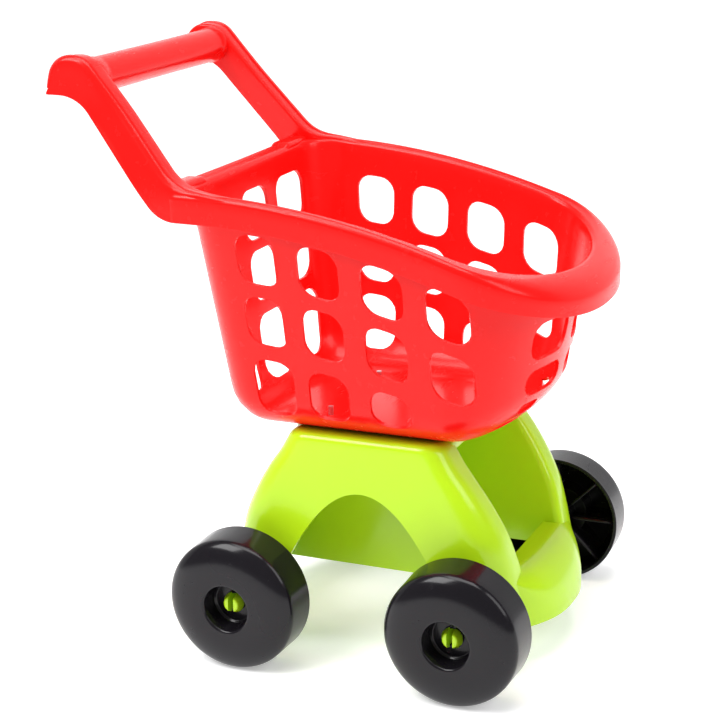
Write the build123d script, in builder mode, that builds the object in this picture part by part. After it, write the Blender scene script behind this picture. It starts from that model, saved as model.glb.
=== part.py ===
from build123d import *
import os
from math import cos, sin, radians, tan

# A child's shopping cart in moulded plastic: a red basket with two channel arms that carry
# a handle bar, on a green saddle base with four black wheels that snap onto split pins.
# Millimetres, +X towards the nose, +Z up, the floor at z = 0, origin under the middle of
# the overall box.

# ---- driving dimensions: overall reach, measured from the middle between the axles ----
NOSE_REACH = 155.0
HANDLE_REACH = 226.0
ARM_CREST_Z = 436.0

# ---- wheels and pins ----
WHEELBASE = 168.0
TRACK_OUTER = 281.0
WHEEL_DIAMETER = 100.0
WHEEL_WIDTH = 37.0
WHEEL_WALL = 3.0
WHEEL_EDGE_RADIAL = 25.0
WHEEL_EDGE_AXIAL = 11.5
WHEEL_TREAD_DRAFT = 0.8
HUB_RECESS_DIAMETER = 34.0
HUB_RECESS_DEPTH = 16.0
HUB_TUBE_DIAMETER = 22.0
HUB_TUBE_SET_BACK = 1.0
WHEEL_RIB_COUNT = 8
WHEEL_RIB_THICKNESS = 1.6
WHEEL_RIB_SET_BACK = 6.0
PIN_DIAMETER = 12.0
PIN_CLEARANCE = 0.08
PIN_FLANGE_DIAMETER = 20.0
PIN_FLANGE_THICKNESS = 2.5
WHEEL_SIDE_PLAY = 0.3
PIN_HEAD_DIAMETER = 15.6
PIN_HEAD_LENGTH = 7.0
PIN_SLOT_WIDTH = 4.2
PIN_SLOT_LENGTH = 20.0
PIN_ROOT_LENGTH = 16.0

# ---- green base ----
BASE_TOP_Z = 169.0
BASE_BOTTOM_Z = 29.0
BASE_TOP_HALF_LENGTH = 58.0
BASE_BOTTOM_HALF_LENGTH = 114.5
BASE_BELL_MID_Z = 100.0
BASE_BELL_MID_HALF_LENGTH = 98.0
BASE_TOP_HALF_WIDTH = 84.0
BASE_BOTTOM_HALF_WIDTH = 92.0
BASE_CORNER_RADIUS = 24.0
BASE_WALL = 3.0
TUNNEL_TOP_HALF_WIDTH = 57.0
TUNNEL_BOTTOM_HALF_WIDTH = 41.0
TUNNEL_WALL_BOTTOM_Z = 55.0
APRON_TOP_Z = 72.0
APRON_REACH = 132.0
APRON_SIDE_REACH = 116.0
APRON_BACK_REACH = 102.0
APRON_HALF_WIDTH = 52.0
APRON_EDGE_RADIUS = 9.0
ARCH_TOP_Z = 129.0
ARCH_FOOT_HALF_WIDTH = 76.0
AXLE_BOSS_DIAMETER = 26.0
AXLE_BOSS_WALL_REACH = 8.0

# ---- red basket ----
BASKET_WALL = 2.6
FLOOR_THICKNESS = 3.0
FLOOR_EDGE_RADIUS = 24.0
TUB_TOP_Z = 346.0
TUB_TOP_HALF_WIDTH = 112.0
TUB_FLOOR_HALF_WIDTH = 88.0
TUB_TOP_REAR = 124.0
TUB_FLOOR_REAR = 107.0
TUB_TOP_NOSE = 149.0
TUB_FLOOR_NOSE = 112.0
TUB_TOP_NOSE_START = 80.0
TUB_FLOOR_NOSE_START = 60.0
TUB_REAR_CORNER_RADIUS = 32.0
RIM_HALF_WIDTH = 119.0
RIM_REAR_REACH = 137.0
RIM_NOSE_START = 82.0
RIM_REAR_CORNER_RADIUS = 20.0
RIM_SKIRT = 20.0
RIM_THICKNESS = 3.0
RIM_REAR_Z = 345.0
RIM_MIDDLE_Z = 329.5
RIM_NOSE_Z = 281.0

# rounded square windows in the walls: rows hang from the rim line
WINDOW_WIDTH = 31.0
WINDOW_HEIGHT = 38.0
WINDOW_RADIUS = 11.0
WINDOW_ROW_DROPS = (44.0, 89.5)
WINDOW_LAST_ROW_DROP = 118.0
WINDOW_LAST_ROW_BOTTOM_Z = 182.0
SIDE_WINDOW_COLUMNS = (-66.0, -20.0, 27.0, 72.0)
SIDE_WINDOW_LAST_ROW_COLUMNS = 3
REAR_WINDOW_PITCH = 50.0
REAR_WINDOW_ROWS_Z = (308.0, 261.0, 214.0)
NOSE_WINDOW_SPREAD = 27.0
NOSE_WINDOW_WIDTH = 36.0
NOSE_WINDOW_HEIGHT = 28.0
NOSE_WINDOW_ROWS_Z = (241.0, 207.0)

# ---- arms and handle bar ----
ARM_WIDTH = 28.0
ARM_LEAN_DEGREES = 10.0
ARM_FOOT_HALF_WIDTH = 118.0
ARM_WALL = 3.0
ARM_HOOK_RADIUS = 21.5
ARM_HOOK_DROP = 28.5
ARM_CHIN_Z = 406.0
ARM_CHIN_X = -203.0
ARM_HEEL_X = -133.0
ARM_INSTEP_X = -118.0
ARM_INSTEP_RISE = 4.5
ARM_TOE_X = -88.0
ARM_BROW_X = -188.0
ARM_INSTEP_RADIUS = 30.0
ARM_BROW_RADIUS = 20.0
ARM_CHIN_RADIUS = 14.0
ARM_HEEL_RADIUS = 20.0
SHOULDER_RISE = 12.0
SHOULDER_START = 65.0
SHOULDER_WIDTH = 28.0
BAR_DIAMETER = 26.0
BAR_X = -197.0
BAR_Z = 419.0
BAR_WALL = 3.0
BAR_SPIGOT_DIAMETER = 16.0
BAR_SPIGOT_REACH = 6.5
BAR_HOLLOW_LENGTH = 130.0
SEAT_CLEARANCE = 0.1

# ---- hidden screws that hold the basket to the base ----
SCREW_DIAMETER = 4.0
SCREW_HEAD_DIAMETER = 8.5
SCREW_HEAD_HEIGHT = 2.6
SCREW_LENGTH = 12.0
SCREW_SPACING_X = 80.0
SCREW_SPACING_Y = 90.0
SCREW_BOSS_DIAMETER = 9.0
SCREW_BOSS_HEIGHT = 12.0

# ---- worked out from the sizes above ----
MID_X = (HANDLE_REACH - NOSE_REACH) / 2
AXLE_Z = WHEEL_DIAMETER / 2
AXLE_XS = (MID_X - WHEELBASE / 2, MID_X + WHEELBASE / 2)
WHEEL_OUTER_Y = TRACK_OUTER / 2
WHEEL_INNER_Y = WHEEL_OUTER_Y - WHEEL_WIDTH
HUB_FLOOR_Y = WHEEL_OUTER_Y - HUB_RECESS_DEPTH
PIN_FLANGE_OUTER_Y = WHEEL_INNER_Y - WHEEL_SIDE_PLAY + HUB_TUBE_SET_BACK
PIN_FLANGE_INNER_Y = PIN_FLANGE_OUTER_Y - PIN_FLANGE_THICKNESS
BORE_RADIUS = PIN_DIAMETER / 2 + PIN_CLEARANCE
FAR = 400.0
BAR_SEAT_Y = (ARM_FOOT_HALF_WIDTH - tan(radians(ARM_LEAN_DEGREES)) * (BAR_Z - RIM_REAR_Z)
              - ARM_WIDTH / cos(radians(ARM_LEAN_DEGREES)))
SPIGOT_END_Y = BAR_SEAT_Y + BAR_SPIGOT_REACH

os.makedirs("parts", exist_ok=True)


def save(piece, name):
    piece.label = name
    export_step(piece, f"parts/{name}.step")


def flip(piece, plane):
    """A mirrored copy of a piece."""
    return mirror(piece, about=plane, mode=Mode.PRIVATE)


def rim_height(x):
    """Height of the rim line above a place measured from the middle between the axles."""
    middle_x = (NOSE_REACH - RIM_REAR_REACH) / 2
    half = (NOSE_REACH + RIM_REAR_REACH) / 2
    t = (x - middle_x) / half
    bend = (RIM_REAR_Z + RIM_NOSE_Z) / 2 - RIM_MIDDLE_Z
    slope = (RIM_NOSE_Z - RIM_REAR_Z) / 2
    return RIM_MIDDLE_Z + slope * t + bend * t * t


def base_half_width(z):
    """Half the outer width of the base at a height."""
    share = (z - BASE_BOTTOM_Z) / (BASE_TOP_Z - BASE_BOTTOM_Z)
    return BASE_BOTTOM_HALF_WIDTH + share * (BASE_TOP_HALF_WIDTH - BASE_BOTTOM_HALF_WIDTH)


# ---- wheels ----

def wheel_shell():
    """A hollow wheel on the Y axis, open at y = 0, with its hub tube and recessed face."""
    radius = WHEEL_DIAMETER / 2
    edge_start = WHEEL_WIDTH - WHEEL_EDGE_AXIAL
    face = radius - WHEEL_TREAD_DRAFT - WHEEL_EDGE_RADIAL
    recess = HUB_RECESS_DIAMETER / 2
    recess_floor = WHEEL_WIDTH - HUB_RECESS_DEPTH
    under_floor = recess_floor - WHEEL_WALL
    under_face = WHEEL_WIDTH - WHEEL_WALL
    hub = HUB_TUBE_DIAMETER / 2
    with BuildPart() as wheel:
        with BuildSketch():
            with BuildLine():
                Polyline((BORE_RADIUS, recess_floor), (BORE_RADIUS, HUB_TUBE_SET_BACK),
                         (hub, HUB_TUBE_SET_BACK), (hub, under_floor),
                         (recess + WHEEL_WALL, under_floor), (recess + WHEEL_WALL, under_face),
                         (face, under_face))
                EllipticalCenterArc((face, edge_start), WHEEL_EDGE_RADIAL - WHEEL_WALL,
                                    WHEEL_EDGE_AXIAL - WHEEL_WALL,
                                    start_angle=0, arc_size=90)
                Polyline((radius - WHEEL_TREAD_DRAFT - WHEEL_WALL, edge_start),
                         (radius - WHEEL_WALL, 0), (radius, 0),
                         (radius - WHEEL_TREAD_DRAFT, edge_start))
                EllipticalCenterArc((face, edge_start), WHEEL_EDGE_RADIAL, WHEEL_EDGE_AXIAL,
                                    start_angle=0, arc_size=90)
                Polyline((face, WHEEL_WIDTH), (recess, WHEEL_WIDTH),
                         (recess, recess_floor), (BORE_RADIUS, recess_floor))
            make_face()
        revolve(axis=Axis.Y)
    return wheel.part


def wheel_rib():
    """One thin radial rib between the hub tube and the shell, lying in the XY plane."""
    edge_start = WHEEL_WIDTH - WHEEL_EDGE_AXIAL
    hub = HUB_TUBE_DIAMETER / 2 - WHEEL_WALL / 2
    recess = HUB_RECESS_DIAMETER / 2 + WHEEL_WALL / 2
    under_floor = WHEEL_WIDTH - HUB_RECESS_DEPTH - WHEEL_WALL / 2
    shell = WHEEL_DIAMETER / 2 - WHEEL_TREAD_DRAFT - WHEEL_WALL / 2
    face = WHEEL_DIAMETER / 2 - WHEEL_TREAD_DRAFT - WHEEL_EDGE_RADIAL
    with BuildPart() as rib:
        with BuildSketch():
            with BuildLine():
                Polyline((recess, WHEEL_WIDTH - WHEEL_WALL / 2), (recess, under_floor),
                         (hub, under_floor), (hub, WHEEL_RIB_SET_BACK),
                         (shell, WHEEL_RIB_SET_BACK), (shell, edge_start))
                EllipticalCenterArc((face, edge_start), WHEEL_EDGE_RADIAL - WHEEL_WALL / 2,
                                    WHEEL_EDGE_AXIAL - WHEEL_WALL / 2,
                                    start_angle=0, arc_size=90)
                Line((face, WHEEL_WIDTH - WHEEL_WALL / 2),
                     (recess, WHEEL_WIDTH - WHEEL_WALL / 2))
            make_face()
        extrude(amount=WHEEL_RIB_THICKNESS / 2, both=True)
    return rib.part


def make_wheel(x, side):
    """A hollow ribbed wheel, open at its back, standing on the floor."""
    rib = wheel_rib()
    with BuildPart() as wheel:
        add(wheel_shell())
        for number in range(WHEEL_RIB_COUNT):
            add(rib.rotate(Axis.Y, number * 360 / WHEEL_RIB_COUNT))
    turned = flip(wheel.part, Plane.XZ) if side < 0 else wheel.part
    return turned.moved(Location((x, side * WHEEL_INNER_Y, AXLE_Z)))


def make_pin(x, side):
    """A pin with a pressed root, a flange, the journal and a split snap head."""
    journal_end = HUB_FLOOR_Y + WHEEL_SIDE_PLAY
    root_start = PIN_FLANGE_INNER_Y - PIN_ROOT_LENGTH
    head_end = journal_end + PIN_HEAD_LENGTH
    body = PIN_DIAMETER / 2
    head = PIN_HEAD_DIAMETER / 2
    flange = PIN_FLANGE_DIAMETER / 2
    with BuildPart() as pin:
        with BuildSketch():
            with BuildLine():
                Polyline((0, root_start), (body, root_start), (body, PIN_FLANGE_INNER_Y),
                         (flange, PIN_FLANGE_INNER_Y), (flange, PIN_FLANGE_OUTER_Y),
                         (body, PIN_FLANGE_OUTER_Y), (body, journal_end), (head, journal_end),
                         (head, journal_end + PIN_HEAD_LENGTH / 3), (body, head_end),
                         (0, head_end), close=True)
            make_face()
        revolve(axis=Axis.Y)
        with Locations((0, head_end - PIN_SLOT_LENGTH / 2, 0)):
            Box(PIN_SLOT_WIDTH, PIN_SLOT_LENGTH, PIN_HEAD_DIAMETER, mode=Mode.SUBTRACT)
    turned = flip(pin.part, Plane.XZ) if side < 0 else pin.part
    return turned.moved(Location((x, 0, AXLE_Z)))


# ---- green base ----

def base_form(inset):
    """The closed outer form of the base, drawn in by an inset for its inside."""
    top_z = BASE_TOP_Z - inset
    low_z = BASE_BOTTOM_Z
    foot = BASE_BOTTOM_HALF_LENGTH - inset
    middle = BASE_BELL_MID_HALF_LENGTH - inset
    top = BASE_TOP_HALF_LENGTH - inset
    wide = BASE_BOTTOM_HALF_WIDTH - inset
    narrow = BASE_TOP_HALF_WIDTH - inset
    with BuildPart() as form:
        with BuildSketch(Plane.XZ):
            with BuildLine():
                ThreePointArc((MID_X + foot, low_z), (MID_X + middle, BASE_BELL_MID_Z),
                              (MID_X + top, top_z))
                Line((MID_X + top, top_z), (MID_X - top, top_z))
                ThreePointArc((MID_X - top, top_z), (MID_X - middle, BASE_BELL_MID_Z),
                              (MID_X - foot, low_z))
                Line((MID_X - foot, low_z), (MID_X + foot, low_z))
            make_face()
        extrude(amount=BASE_BOTTOM_HALF_WIDTH, both=True)
        with BuildSketch(Plane.YZ.offset(-FAR)):
            with BuildLine():
                Polyline((-wide, low_z), (wide, low_z), (narrow, top_z), (-narrow, top_z),
                         close=True)
            make_face()
        extrude(amount=2 * FAR, mode=Mode.INTERSECT)
        corners = form.edges().filter_by(
            lambda edge: edge.bounding_box().size.Z > (top_z - low_z) / 2)
        fillet(corners, radius=BASE_CORNER_RADIUS - inset)
    return form.part


def tunnel_form(growth):
    """The front-to-back tunnel between the legs, grown on its sides by a wall."""
    low = TUNNEL_BOTTOM_HALF_WIDTH + growth
    high = TUNNEL_TOP_HALF_WIDTH + growth
    top_z = BASE_TOP_Z - BASE_WALL
    with BuildPart() as tunnel:
        with BuildSketch(Plane.YZ.offset(-FAR)):
            with BuildLine():
                Polyline((-low, TUNNEL_WALL_BOTTOM_Z), (low, TUNNEL_WALL_BOTTOM_Z),
                         (high, top_z), (-high, top_z), close=True)
            make_face()
        extrude(amount=2 * FAR)
    return tunnel.part


def tunnel_walls():
    """The two inner walls of the legs, which close the tunnel's sides."""
    outer = base_form(0)
    grown = tunnel_form(BASE_WALL)
    inner = tunnel_form(0)
    with BuildPart() as walls:
        add(grown)
        add(outer, mode=Mode.INTERSECT)
        add(inner, mode=Mode.SUBTRACT)
    return walls.part


def arch_form(side):
    """The parabolic arch in one outer side of the base."""
    half = ARCH_FOOT_HALF_WIDTH
    low_z = BASE_BOTTOM_Z - BASE_WALL
    wall_y = TUNNEL_TOP_HALF_WIDTH + BASE_WALL
    with BuildPart() as arch:
        with BuildSketch(Plane.XZ.offset(-side * wall_y)):
            with BuildLine():
                Bezier((MID_X - half, low_z), (MID_X, 2 * ARCH_TOP_Z - low_z),
                       (MID_X + half, low_z))
                Line((MID_X + half, low_z), (MID_X - half, low_z))
            make_face()
        extrude(amount=-side * FAR)
    return arch.part


def apron_form(inset):
    """The closed form of the bowed apron at the nose end, drawn in by an inset."""
    side_x = MID_X + APRON_SIDE_REACH - inset
    back_x = MID_X + APRON_BACK_REACH
    half = APRON_HALF_WIDTH - inset
    with BuildPart() as form:
        with BuildSketch(Plane.XY.offset(BASE_BOTTOM_Z)):
            with BuildLine():
                ThreePointArc((side_x, -half), (MID_X + APRON_REACH - inset, 0), (side_x, half))
                Polyline((side_x, half), (back_x, half), (back_x, -half), (side_x, -half))
            make_face()
        extrude(amount=APRON_TOP_Z - inset - BASE_BOTTOM_Z)
        rolled = form.faces().sort_by(Axis.Z)[-1].edges().sort_by(Axis.X)[1:]
        fillet(rolled, radius=APRON_EDGE_RADIUS - inset)
    return form.part


def make_apron(end):
    """The bowed panel that joins two legs at the bottom of one end of the base."""
    outer = apron_form(0)
    inner = apron_form(BASE_WALL)
    with BuildPart() as apron:
        add(outer)
        add(inner, mode=Mode.SUBTRACT)
    if end > 0:
        return apron.part
    return flip(apron.part, Plane.YZ.offset(MID_X))


def end_window():
    """What opens the ends of the base: the tunnel, and the gap that the aprons stand in."""
    tunnel = tunnel_form(0)
    low_z = BASE_BOTTOM_Z - BASE_WALL
    with BuildPart() as window:
        add(tunnel)
        with Locations((0, 0, low_z)):
            Box(2 * FAR, 2 * (APRON_HALF_WIDTH - BASE_WALL), APRON_TOP_Z - BASE_WALL - low_z,
                align=(Align.CENTER, Align.CENTER, Align.MIN))
    return window.part


def axle_boss(x, side):
    """A round boss that carries a pin's root, from inside the leg out to the pin's flange."""
    form = boss_form(x, side)
    with BuildPart() as boss:
        add(form)
        with Locations((x, side * (PIN_FLANGE_INNER_Y - PIN_ROOT_LENGTH / 2), AXLE_Z)):
            Cylinder(PIN_DIAMETER / 2, PIN_ROOT_LENGTH, rotation=(90, 0, 0),
                     mode=Mode.SUBTRACT)
    return boss.part


def boss_form(x, side):
    """The closed form of a boss, which clears the wall for it."""
    past_skin = PIN_FLANGE_INNER_Y - base_half_width(AXLE_Z) + AXLE_BOSS_WALL_REACH
    length = max(past_skin, PIN_ROOT_LENGTH + BASE_WALL)
    with BuildPart() as form:
        with Locations((x, side * (PIN_FLANGE_INNER_Y - length / 2), AXLE_Z)):
            Cylinder(AXLE_BOSS_DIAMETER / 2, length, rotation=(90, 0, 0))
    return form.part


def make_base():
    """The saddle base: two arched legs, a tunnel between them and an apron at each end."""
    outer = base_form(0)
    inner = base_form(BASE_WALL)
    walls = tunnel_walls()
    window = end_window()
    with BuildPart() as base:
        add(outer)
        add(inner, mode=Mode.SUBTRACT)
        add(window, mode=Mode.SUBTRACT)
        add(walls)
        for end in (-1, 1):
            add(make_apron(end))
        for side in (-1, 1):
            add(arch_form(side), mode=Mode.SUBTRACT)
            for x in AXLE_XS:
                add(boss_form(x, side), mode=Mode.SUBTRACT)
                add(axle_boss(x, side))
        with Locations((MID_X, 0, BASE_TOP_Z)):
            with GridLocations(SCREW_SPACING_X, SCREW_SPACING_Y, 2, 2):
                Hole(SCREW_DIAMETER / 2 + SEAT_CLEARANCE, depth=2 * BASE_WALL)
    return base.part


# ---- red basket ----

def plan_outline(z, rear, half, start, nose, corner):
    """A level sketch with round rear corners and an elliptical nose."""
    with BuildSketch(Plane.XY.offset(z)) as plan:
        with BuildLine():
            Line((rear, -half + corner), (rear, half - corner))
            CenterArc((rear + corner, half - corner), corner, 90, 90)
            Line((rear + corner, half), (start, half))
            EllipticalCenterArc((start, 0), nose - start, half, start_angle=270, arc_size=180)
            Line((start, -half), (rear + corner, -half))
            CenterArc((rear + corner, corner - half), corner, 180, 90)
        make_face()
    return plan.sketch


def tub_outline(z, inset):
    """The plan of the basket wall at a height, drawn in by an inset."""
    share = (z - BASE_TOP_Z) / (TUB_TOP_Z - BASE_TOP_Z)
    half = TUB_FLOOR_HALF_WIDTH + share * (TUB_TOP_HALF_WIDTH - TUB_FLOOR_HALF_WIDTH) - inset
    rear = MID_X - TUB_FLOOR_REAR - share * (TUB_TOP_REAR - TUB_FLOOR_REAR) + inset
    nose = MID_X + TUB_FLOOR_NOSE + share * (TUB_TOP_NOSE - TUB_FLOOR_NOSE) - inset
    start = MID_X + TUB_FLOOR_NOSE_START + share * (TUB_TOP_NOSE_START - TUB_FLOOR_NOSE_START)
    return plan_outline(z, rear, half, start, nose, TUB_REAR_CORNER_RADIUS - inset)


def tub_form(floor_z, inset):
    """The closed tapered form of the tub with its rounded floor edge."""
    low = tub_outline(floor_z, inset)
    high = tub_outline(TUB_TOP_Z + inset, inset)
    with BuildPart() as form:
        loft(sections=[low, high], ruled=True)
        floor_edges = form.faces().sort_by(Axis.Z)[0].edges()
        fillet(floor_edges, radius=FLOOR_EDGE_RADIUS - inset)
    return form.part


def rim_band(top_drop, low_drop):
    """A bar across the basket between two curves that follow the rim line."""
    rear = -RIM_REAR_REACH - RIM_SKIRT
    nose = NOSE_REACH + RIM_SKIRT
    middle = (rear + nose) / 2
    with BuildPart() as band:
        with BuildSketch(Plane.XZ):
            with BuildLine():
                ThreePointArc((MID_X + rear, rim_height(rear) - top_drop),
                              (MID_X + middle, rim_height(middle) - top_drop),
                              (MID_X + nose, rim_height(nose) - top_drop))
                Line((MID_X + nose, rim_height(nose) - top_drop),
                     (MID_X + nose, rim_height(nose) - low_drop))
                ThreePointArc((MID_X + nose, rim_height(nose) - low_drop),
                              (MID_X + middle, rim_height(middle) - low_drop),
                              (MID_X + rear, rim_height(rear) - low_drop))
                Line((MID_X + rear, rim_height(rear) - low_drop),
                     (MID_X + rear, rim_height(rear) - top_drop))
            make_face()
        extrude(amount=FAR / 2, both=True)
    return band.part


def rim_form(inset, top_drop, low_drop):
    """A solid slice of the rim's outline between two curves."""
    outline = plan_outline(0, MID_X - RIM_REAR_REACH + inset, RIM_HALF_WIDTH - inset,
                           MID_X + RIM_NOSE_START, MID_X + NOSE_REACH - inset,
                           RIM_REAR_CORNER_RADIUS - inset)
    band = rim_band(top_drop, low_drop)
    with BuildPart() as form:
        extrude(to_extrude=outline, amount=FAR + RIM_REAR_Z)
        add(band, mode=Mode.INTERSECT)
    return form.part


def make_rim():
    """The turned-down rim, a channel that is open below."""
    outer = rim_form(0, 0, RIM_SKIRT)
    inner = rim_form(RIM_THICKNESS, RIM_THICKNESS, 2 * RIM_SKIRT)
    with BuildPart() as rim:
        add(outer)
        add(inner, mode=Mode.SUBTRACT)
    return rim.part


def arm_plane(side):
    """The leaning plane of an arm's outer face, its sketch X along the cart."""
    lean = radians(ARM_LEAN_DEGREES)
    return Plane(origin=(0, side * ARM_FOOT_HALF_WIDTH, RIM_REAR_Z), x_dir=(1, 0, 0),
                 z_dir=(0, -cos(lean), -side * sin(lean)))


def arm_profile(plane, shrink, drop):
    """An arm's side view on a plane, shrunk by a wall and dropped."""
    stretch = 1 / cos(radians(ARM_LEAN_DEGREES))
    crest = (ARM_CREST_Z - RIM_REAR_Z) * stretch - drop
    chin = (ARM_CHIN_Z - RIM_REAR_Z) * stretch - drop
    points = [(MID_X + ARM_TOE_X, -RIM_SKIRT - drop), (MID_X + ARM_TOE_X, -drop),
              (MID_X + ARM_INSTEP_X, ARM_INSTEP_RISE - drop),
              (MID_X + ARM_BROW_X, crest), (MID_X - HANDLE_REACH, crest),
              (MID_X - HANDLE_REACH, crest - ARM_HOOK_DROP),
              (MID_X + ARM_CHIN_X, chin), (MID_X + ARM_HEEL_X, -RIM_SKIRT - drop)]
    radii = [0, 0, ARM_INSTEP_RADIUS, ARM_BROW_RADIUS, ARM_HOOK_RADIUS, 0,
             ARM_CHIN_RADIUS, ARM_HEEL_RADIUS]
    with BuildSketch(plane) as profile:
        with BuildLine():
            FilletPolyline(*points, radius=radii, close=True)
        make_face()
        if shrink:
            offset(amount=-shrink, mode=Mode.REPLACE)
    return profile.sketch


def make_arm(side):
    """A leaning channel arm that is open below."""
    outline = arm_profile(arm_plane(side), 0, 0)
    core_plane = arm_plane(side).offset(side * ARM_WALL)
    core = arm_profile(core_plane, ARM_WALL, 0)
    low_core = arm_profile(core_plane, ARM_WALL, 3 * ARM_WALL)
    with BuildPart() as arm:
        extrude(to_extrude=outline, amount=side * ARM_WIDTH)
        with Locations((MID_X, 0, RIM_REAR_Z)):
            Box(2 * FAR, 2 * RIM_HALF_WIDTH, FAR, mode=Mode.INTERSECT)
        extrude(to_extrude=core, amount=side * (ARM_WIDTH - 2 * ARM_WALL), mode=Mode.SUBTRACT)
        extrude(to_extrude=low_core, amount=side * (ARM_WIDTH - 2 * ARM_WALL),
                mode=Mode.SUBTRACT)
    return arm.part


def make_shoulder(side):
    """The raised corner of the rear wall beside an arm, a plate with a lip."""
    wall_x = MID_X - TUB_TOP_REAR
    lip_x = MID_X - RIM_REAR_REACH
    low_z = RIM_REAR_Z - RIM_THICKNESS
    top_z = RIM_REAR_Z + SHOULDER_RISE
    with BuildPart() as shoulder:
        with BuildSketch(Plane.XZ.offset(-side * SHOULDER_START)):
            with BuildLine():
                Polyline((wall_x, low_z), (wall_x, top_z), (lip_x, top_z),
                         (lip_x, top_z - RIM_THICKNESS),
                         (wall_x - RIM_THICKNESS, top_z - RIM_THICKNESS),
                         (wall_x - RIM_THICKNESS, low_z), close=True)
            make_face()
        extrude(amount=-side * SHOULDER_WIDTH)
    return shoulder.part


def side_windows():
    """Bars through both side walls, one for each window pair."""
    with BuildPart() as bars:
        with BuildSketch(Plane.XZ):
            for column in SIDE_WINDOW_COLUMNS:
                for drop in WINDOW_ROW_DROPS:
                    with Locations((MID_X + column, rim_height(column) - drop)):
                        RectangleRounded(WINDOW_WIDTH, WINDOW_HEIGHT, WINDOW_RADIUS)
            for column in SIDE_WINDOW_COLUMNS[:SIDE_WINDOW_LAST_ROW_COLUMNS]:
                height = rim_height(column) - WINDOW_LAST_ROW_DROP - WINDOW_LAST_ROW_BOTTOM_Z
                with Locations((MID_X + column, WINDOW_LAST_ROW_BOTTOM_Z + height / 2)):
                    RectangleRounded(WINDOW_WIDTH, height, WINDOW_RADIUS)
        extrude(amount=FAR / 2, both=True)
    return bars.part


def end_windows():
    """Bars along the cart through the rear wall and through the nose."""
    with BuildPart() as bars:
        with BuildSketch(Plane.YZ.offset(MID_X - FAR)):
            for row_z in REAR_WINDOW_ROWS_Z:
                with Locations((0, row_z)):
                    with GridLocations(REAR_WINDOW_PITCH, 1, 3, 1):
                        RectangleRounded(WINDOW_WIDTH, WINDOW_HEIGHT, WINDOW_RADIUS)
        extrude(amount=FAR)
        with BuildSketch(Plane.YZ.offset(MID_X)):
            for row_z in NOSE_WINDOW_ROWS_Z:
                with Locations((0, row_z)):
                    with GridLocations(2 * NOSE_WINDOW_SPREAD, 1, 2, 1):
                        RectangleRounded(NOSE_WINDOW_WIDTH, NOSE_WINDOW_HEIGHT, WINDOW_RADIUS)
        extrude(amount=FAR)
    return bars.part


def make_basket():
    """The basket moulding: tub, rim, arms, windows and the screw bosses in its floor."""
    outer = tub_form(BASE_TOP_Z, 0)
    inner = tub_form(BASE_TOP_Z + FLOOR_THICKNESS, BASKET_WALL)
    below_rim = rim_form(-RIM_SKIRT, 0, FAR / 2)
    with BuildPart() as basket:
        add(outer)
        add(below_rim, mode=Mode.INTERSECT)
        add(make_rim())
        for side in (-1, 1):
            add(make_arm(side))
            add(make_shoulder(side))
        add(inner, mode=Mode.SUBTRACT)
        add(side_windows(), mode=Mode.SUBTRACT)
        add(end_windows(), mode=Mode.SUBTRACT)
        with Locations((MID_X + BAR_X, 0, BAR_Z)):
            Cylinder(BAR_SPIGOT_DIAMETER / 2 + SEAT_CLEARANCE, 2 * SPIGOT_END_Y,
                     rotation=(90, 0, 0), mode=Mode.SUBTRACT)
        with Locations((MID_X, 0, BASE_TOP_Z + FLOOR_THICKNESS)):
            with GridLocations(SCREW_SPACING_X, SCREW_SPACING_Y, 2, 2):
                Cylinder(SCREW_BOSS_DIAMETER / 2, SCREW_BOSS_HEIGHT,
                         align=(Align.CENTER, Align.CENTER, Align.MIN))
        with Locations((MID_X, 0, BASE_TOP_Z)):
            with GridLocations(SCREW_SPACING_X, SCREW_SPACING_Y, 2, 2):
                Cylinder(SCREW_DIAMETER / 2, SCREW_LENGTH - BASE_WALL + SEAT_CLEARANCE,
                         align=(Align.CENTER, Align.CENTER, Align.MIN), mode=Mode.SUBTRACT)
    return basket.part


# ---- handle bar and screws ----

def make_bar():
    """The round bar, a tube whose spigots seat in the arms' inner walls."""
    with BuildPart() as bar:
        with Locations((MID_X + BAR_X, 0, BAR_Z)):
            Cylinder(BAR_DIAMETER / 2, 2 * WHEEL_OUTER_Y, rotation=(90, 0, 0))
        for side in (1, -1):
            seat = arm_plane(side).offset(side * (ARM_WIDTH + SEAT_CLEARANCE))
            split(bisect_by=seat, keep=Keep.TOP if side > 0 else Keep.BOTTOM)
        with Locations((MID_X + BAR_X, 0, BAR_Z)):
            Cylinder(BAR_SPIGOT_DIAMETER / 2, 2 * SPIGOT_END_Y, rotation=(90, 0, 0))
            Cylinder(BAR_SPIGOT_DIAMETER / 2 - BAR_WALL, 2 * SPIGOT_END_Y,
                     rotation=(90, 0, 0), mode=Mode.SUBTRACT)
            Cylinder(BAR_DIAMETER / 2 - BAR_WALL, BAR_HOLLOW_LENGTH, rotation=(90, 0, 0),
                     mode=Mode.SUBTRACT)
    return bar.part


def make_screws():
    """Four screws up through the top of the base into the basket's bosses."""
    with BuildPart() as screws:
        with Locations((MID_X, 0, BASE_TOP_Z - BASE_WALL)):
            with GridLocations(SCREW_SPACING_X, SCREW_SPACING_Y, 2, 2):
                Cylinder(SCREW_DIAMETER / 2, SCREW_LENGTH,
                         align=(Align.CENTER, Align.CENTER, Align.MIN))
                Cylinder(SCREW_HEAD_DIAMETER / 2, SCREW_HEAD_HEIGHT,
                         align=(Align.CENTER, Align.CENTER, Align.MAX))
    return screws.part


for end, x in zip(("rear", "front"), AXLE_XS):
    for side_name, side in (("right", -1), ("left", 1)):
        save(make_wheel(x, side), f"wheel_{end}_{side_name}")
        save(make_pin(x, side), f"axle_pin_{end}_{side_name}")
save(make_base(), "base_frame")
save(make_basket(), "basket")
save(make_bar(), "handle_bar")
save(make_screws(), "basket_screws")
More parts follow.
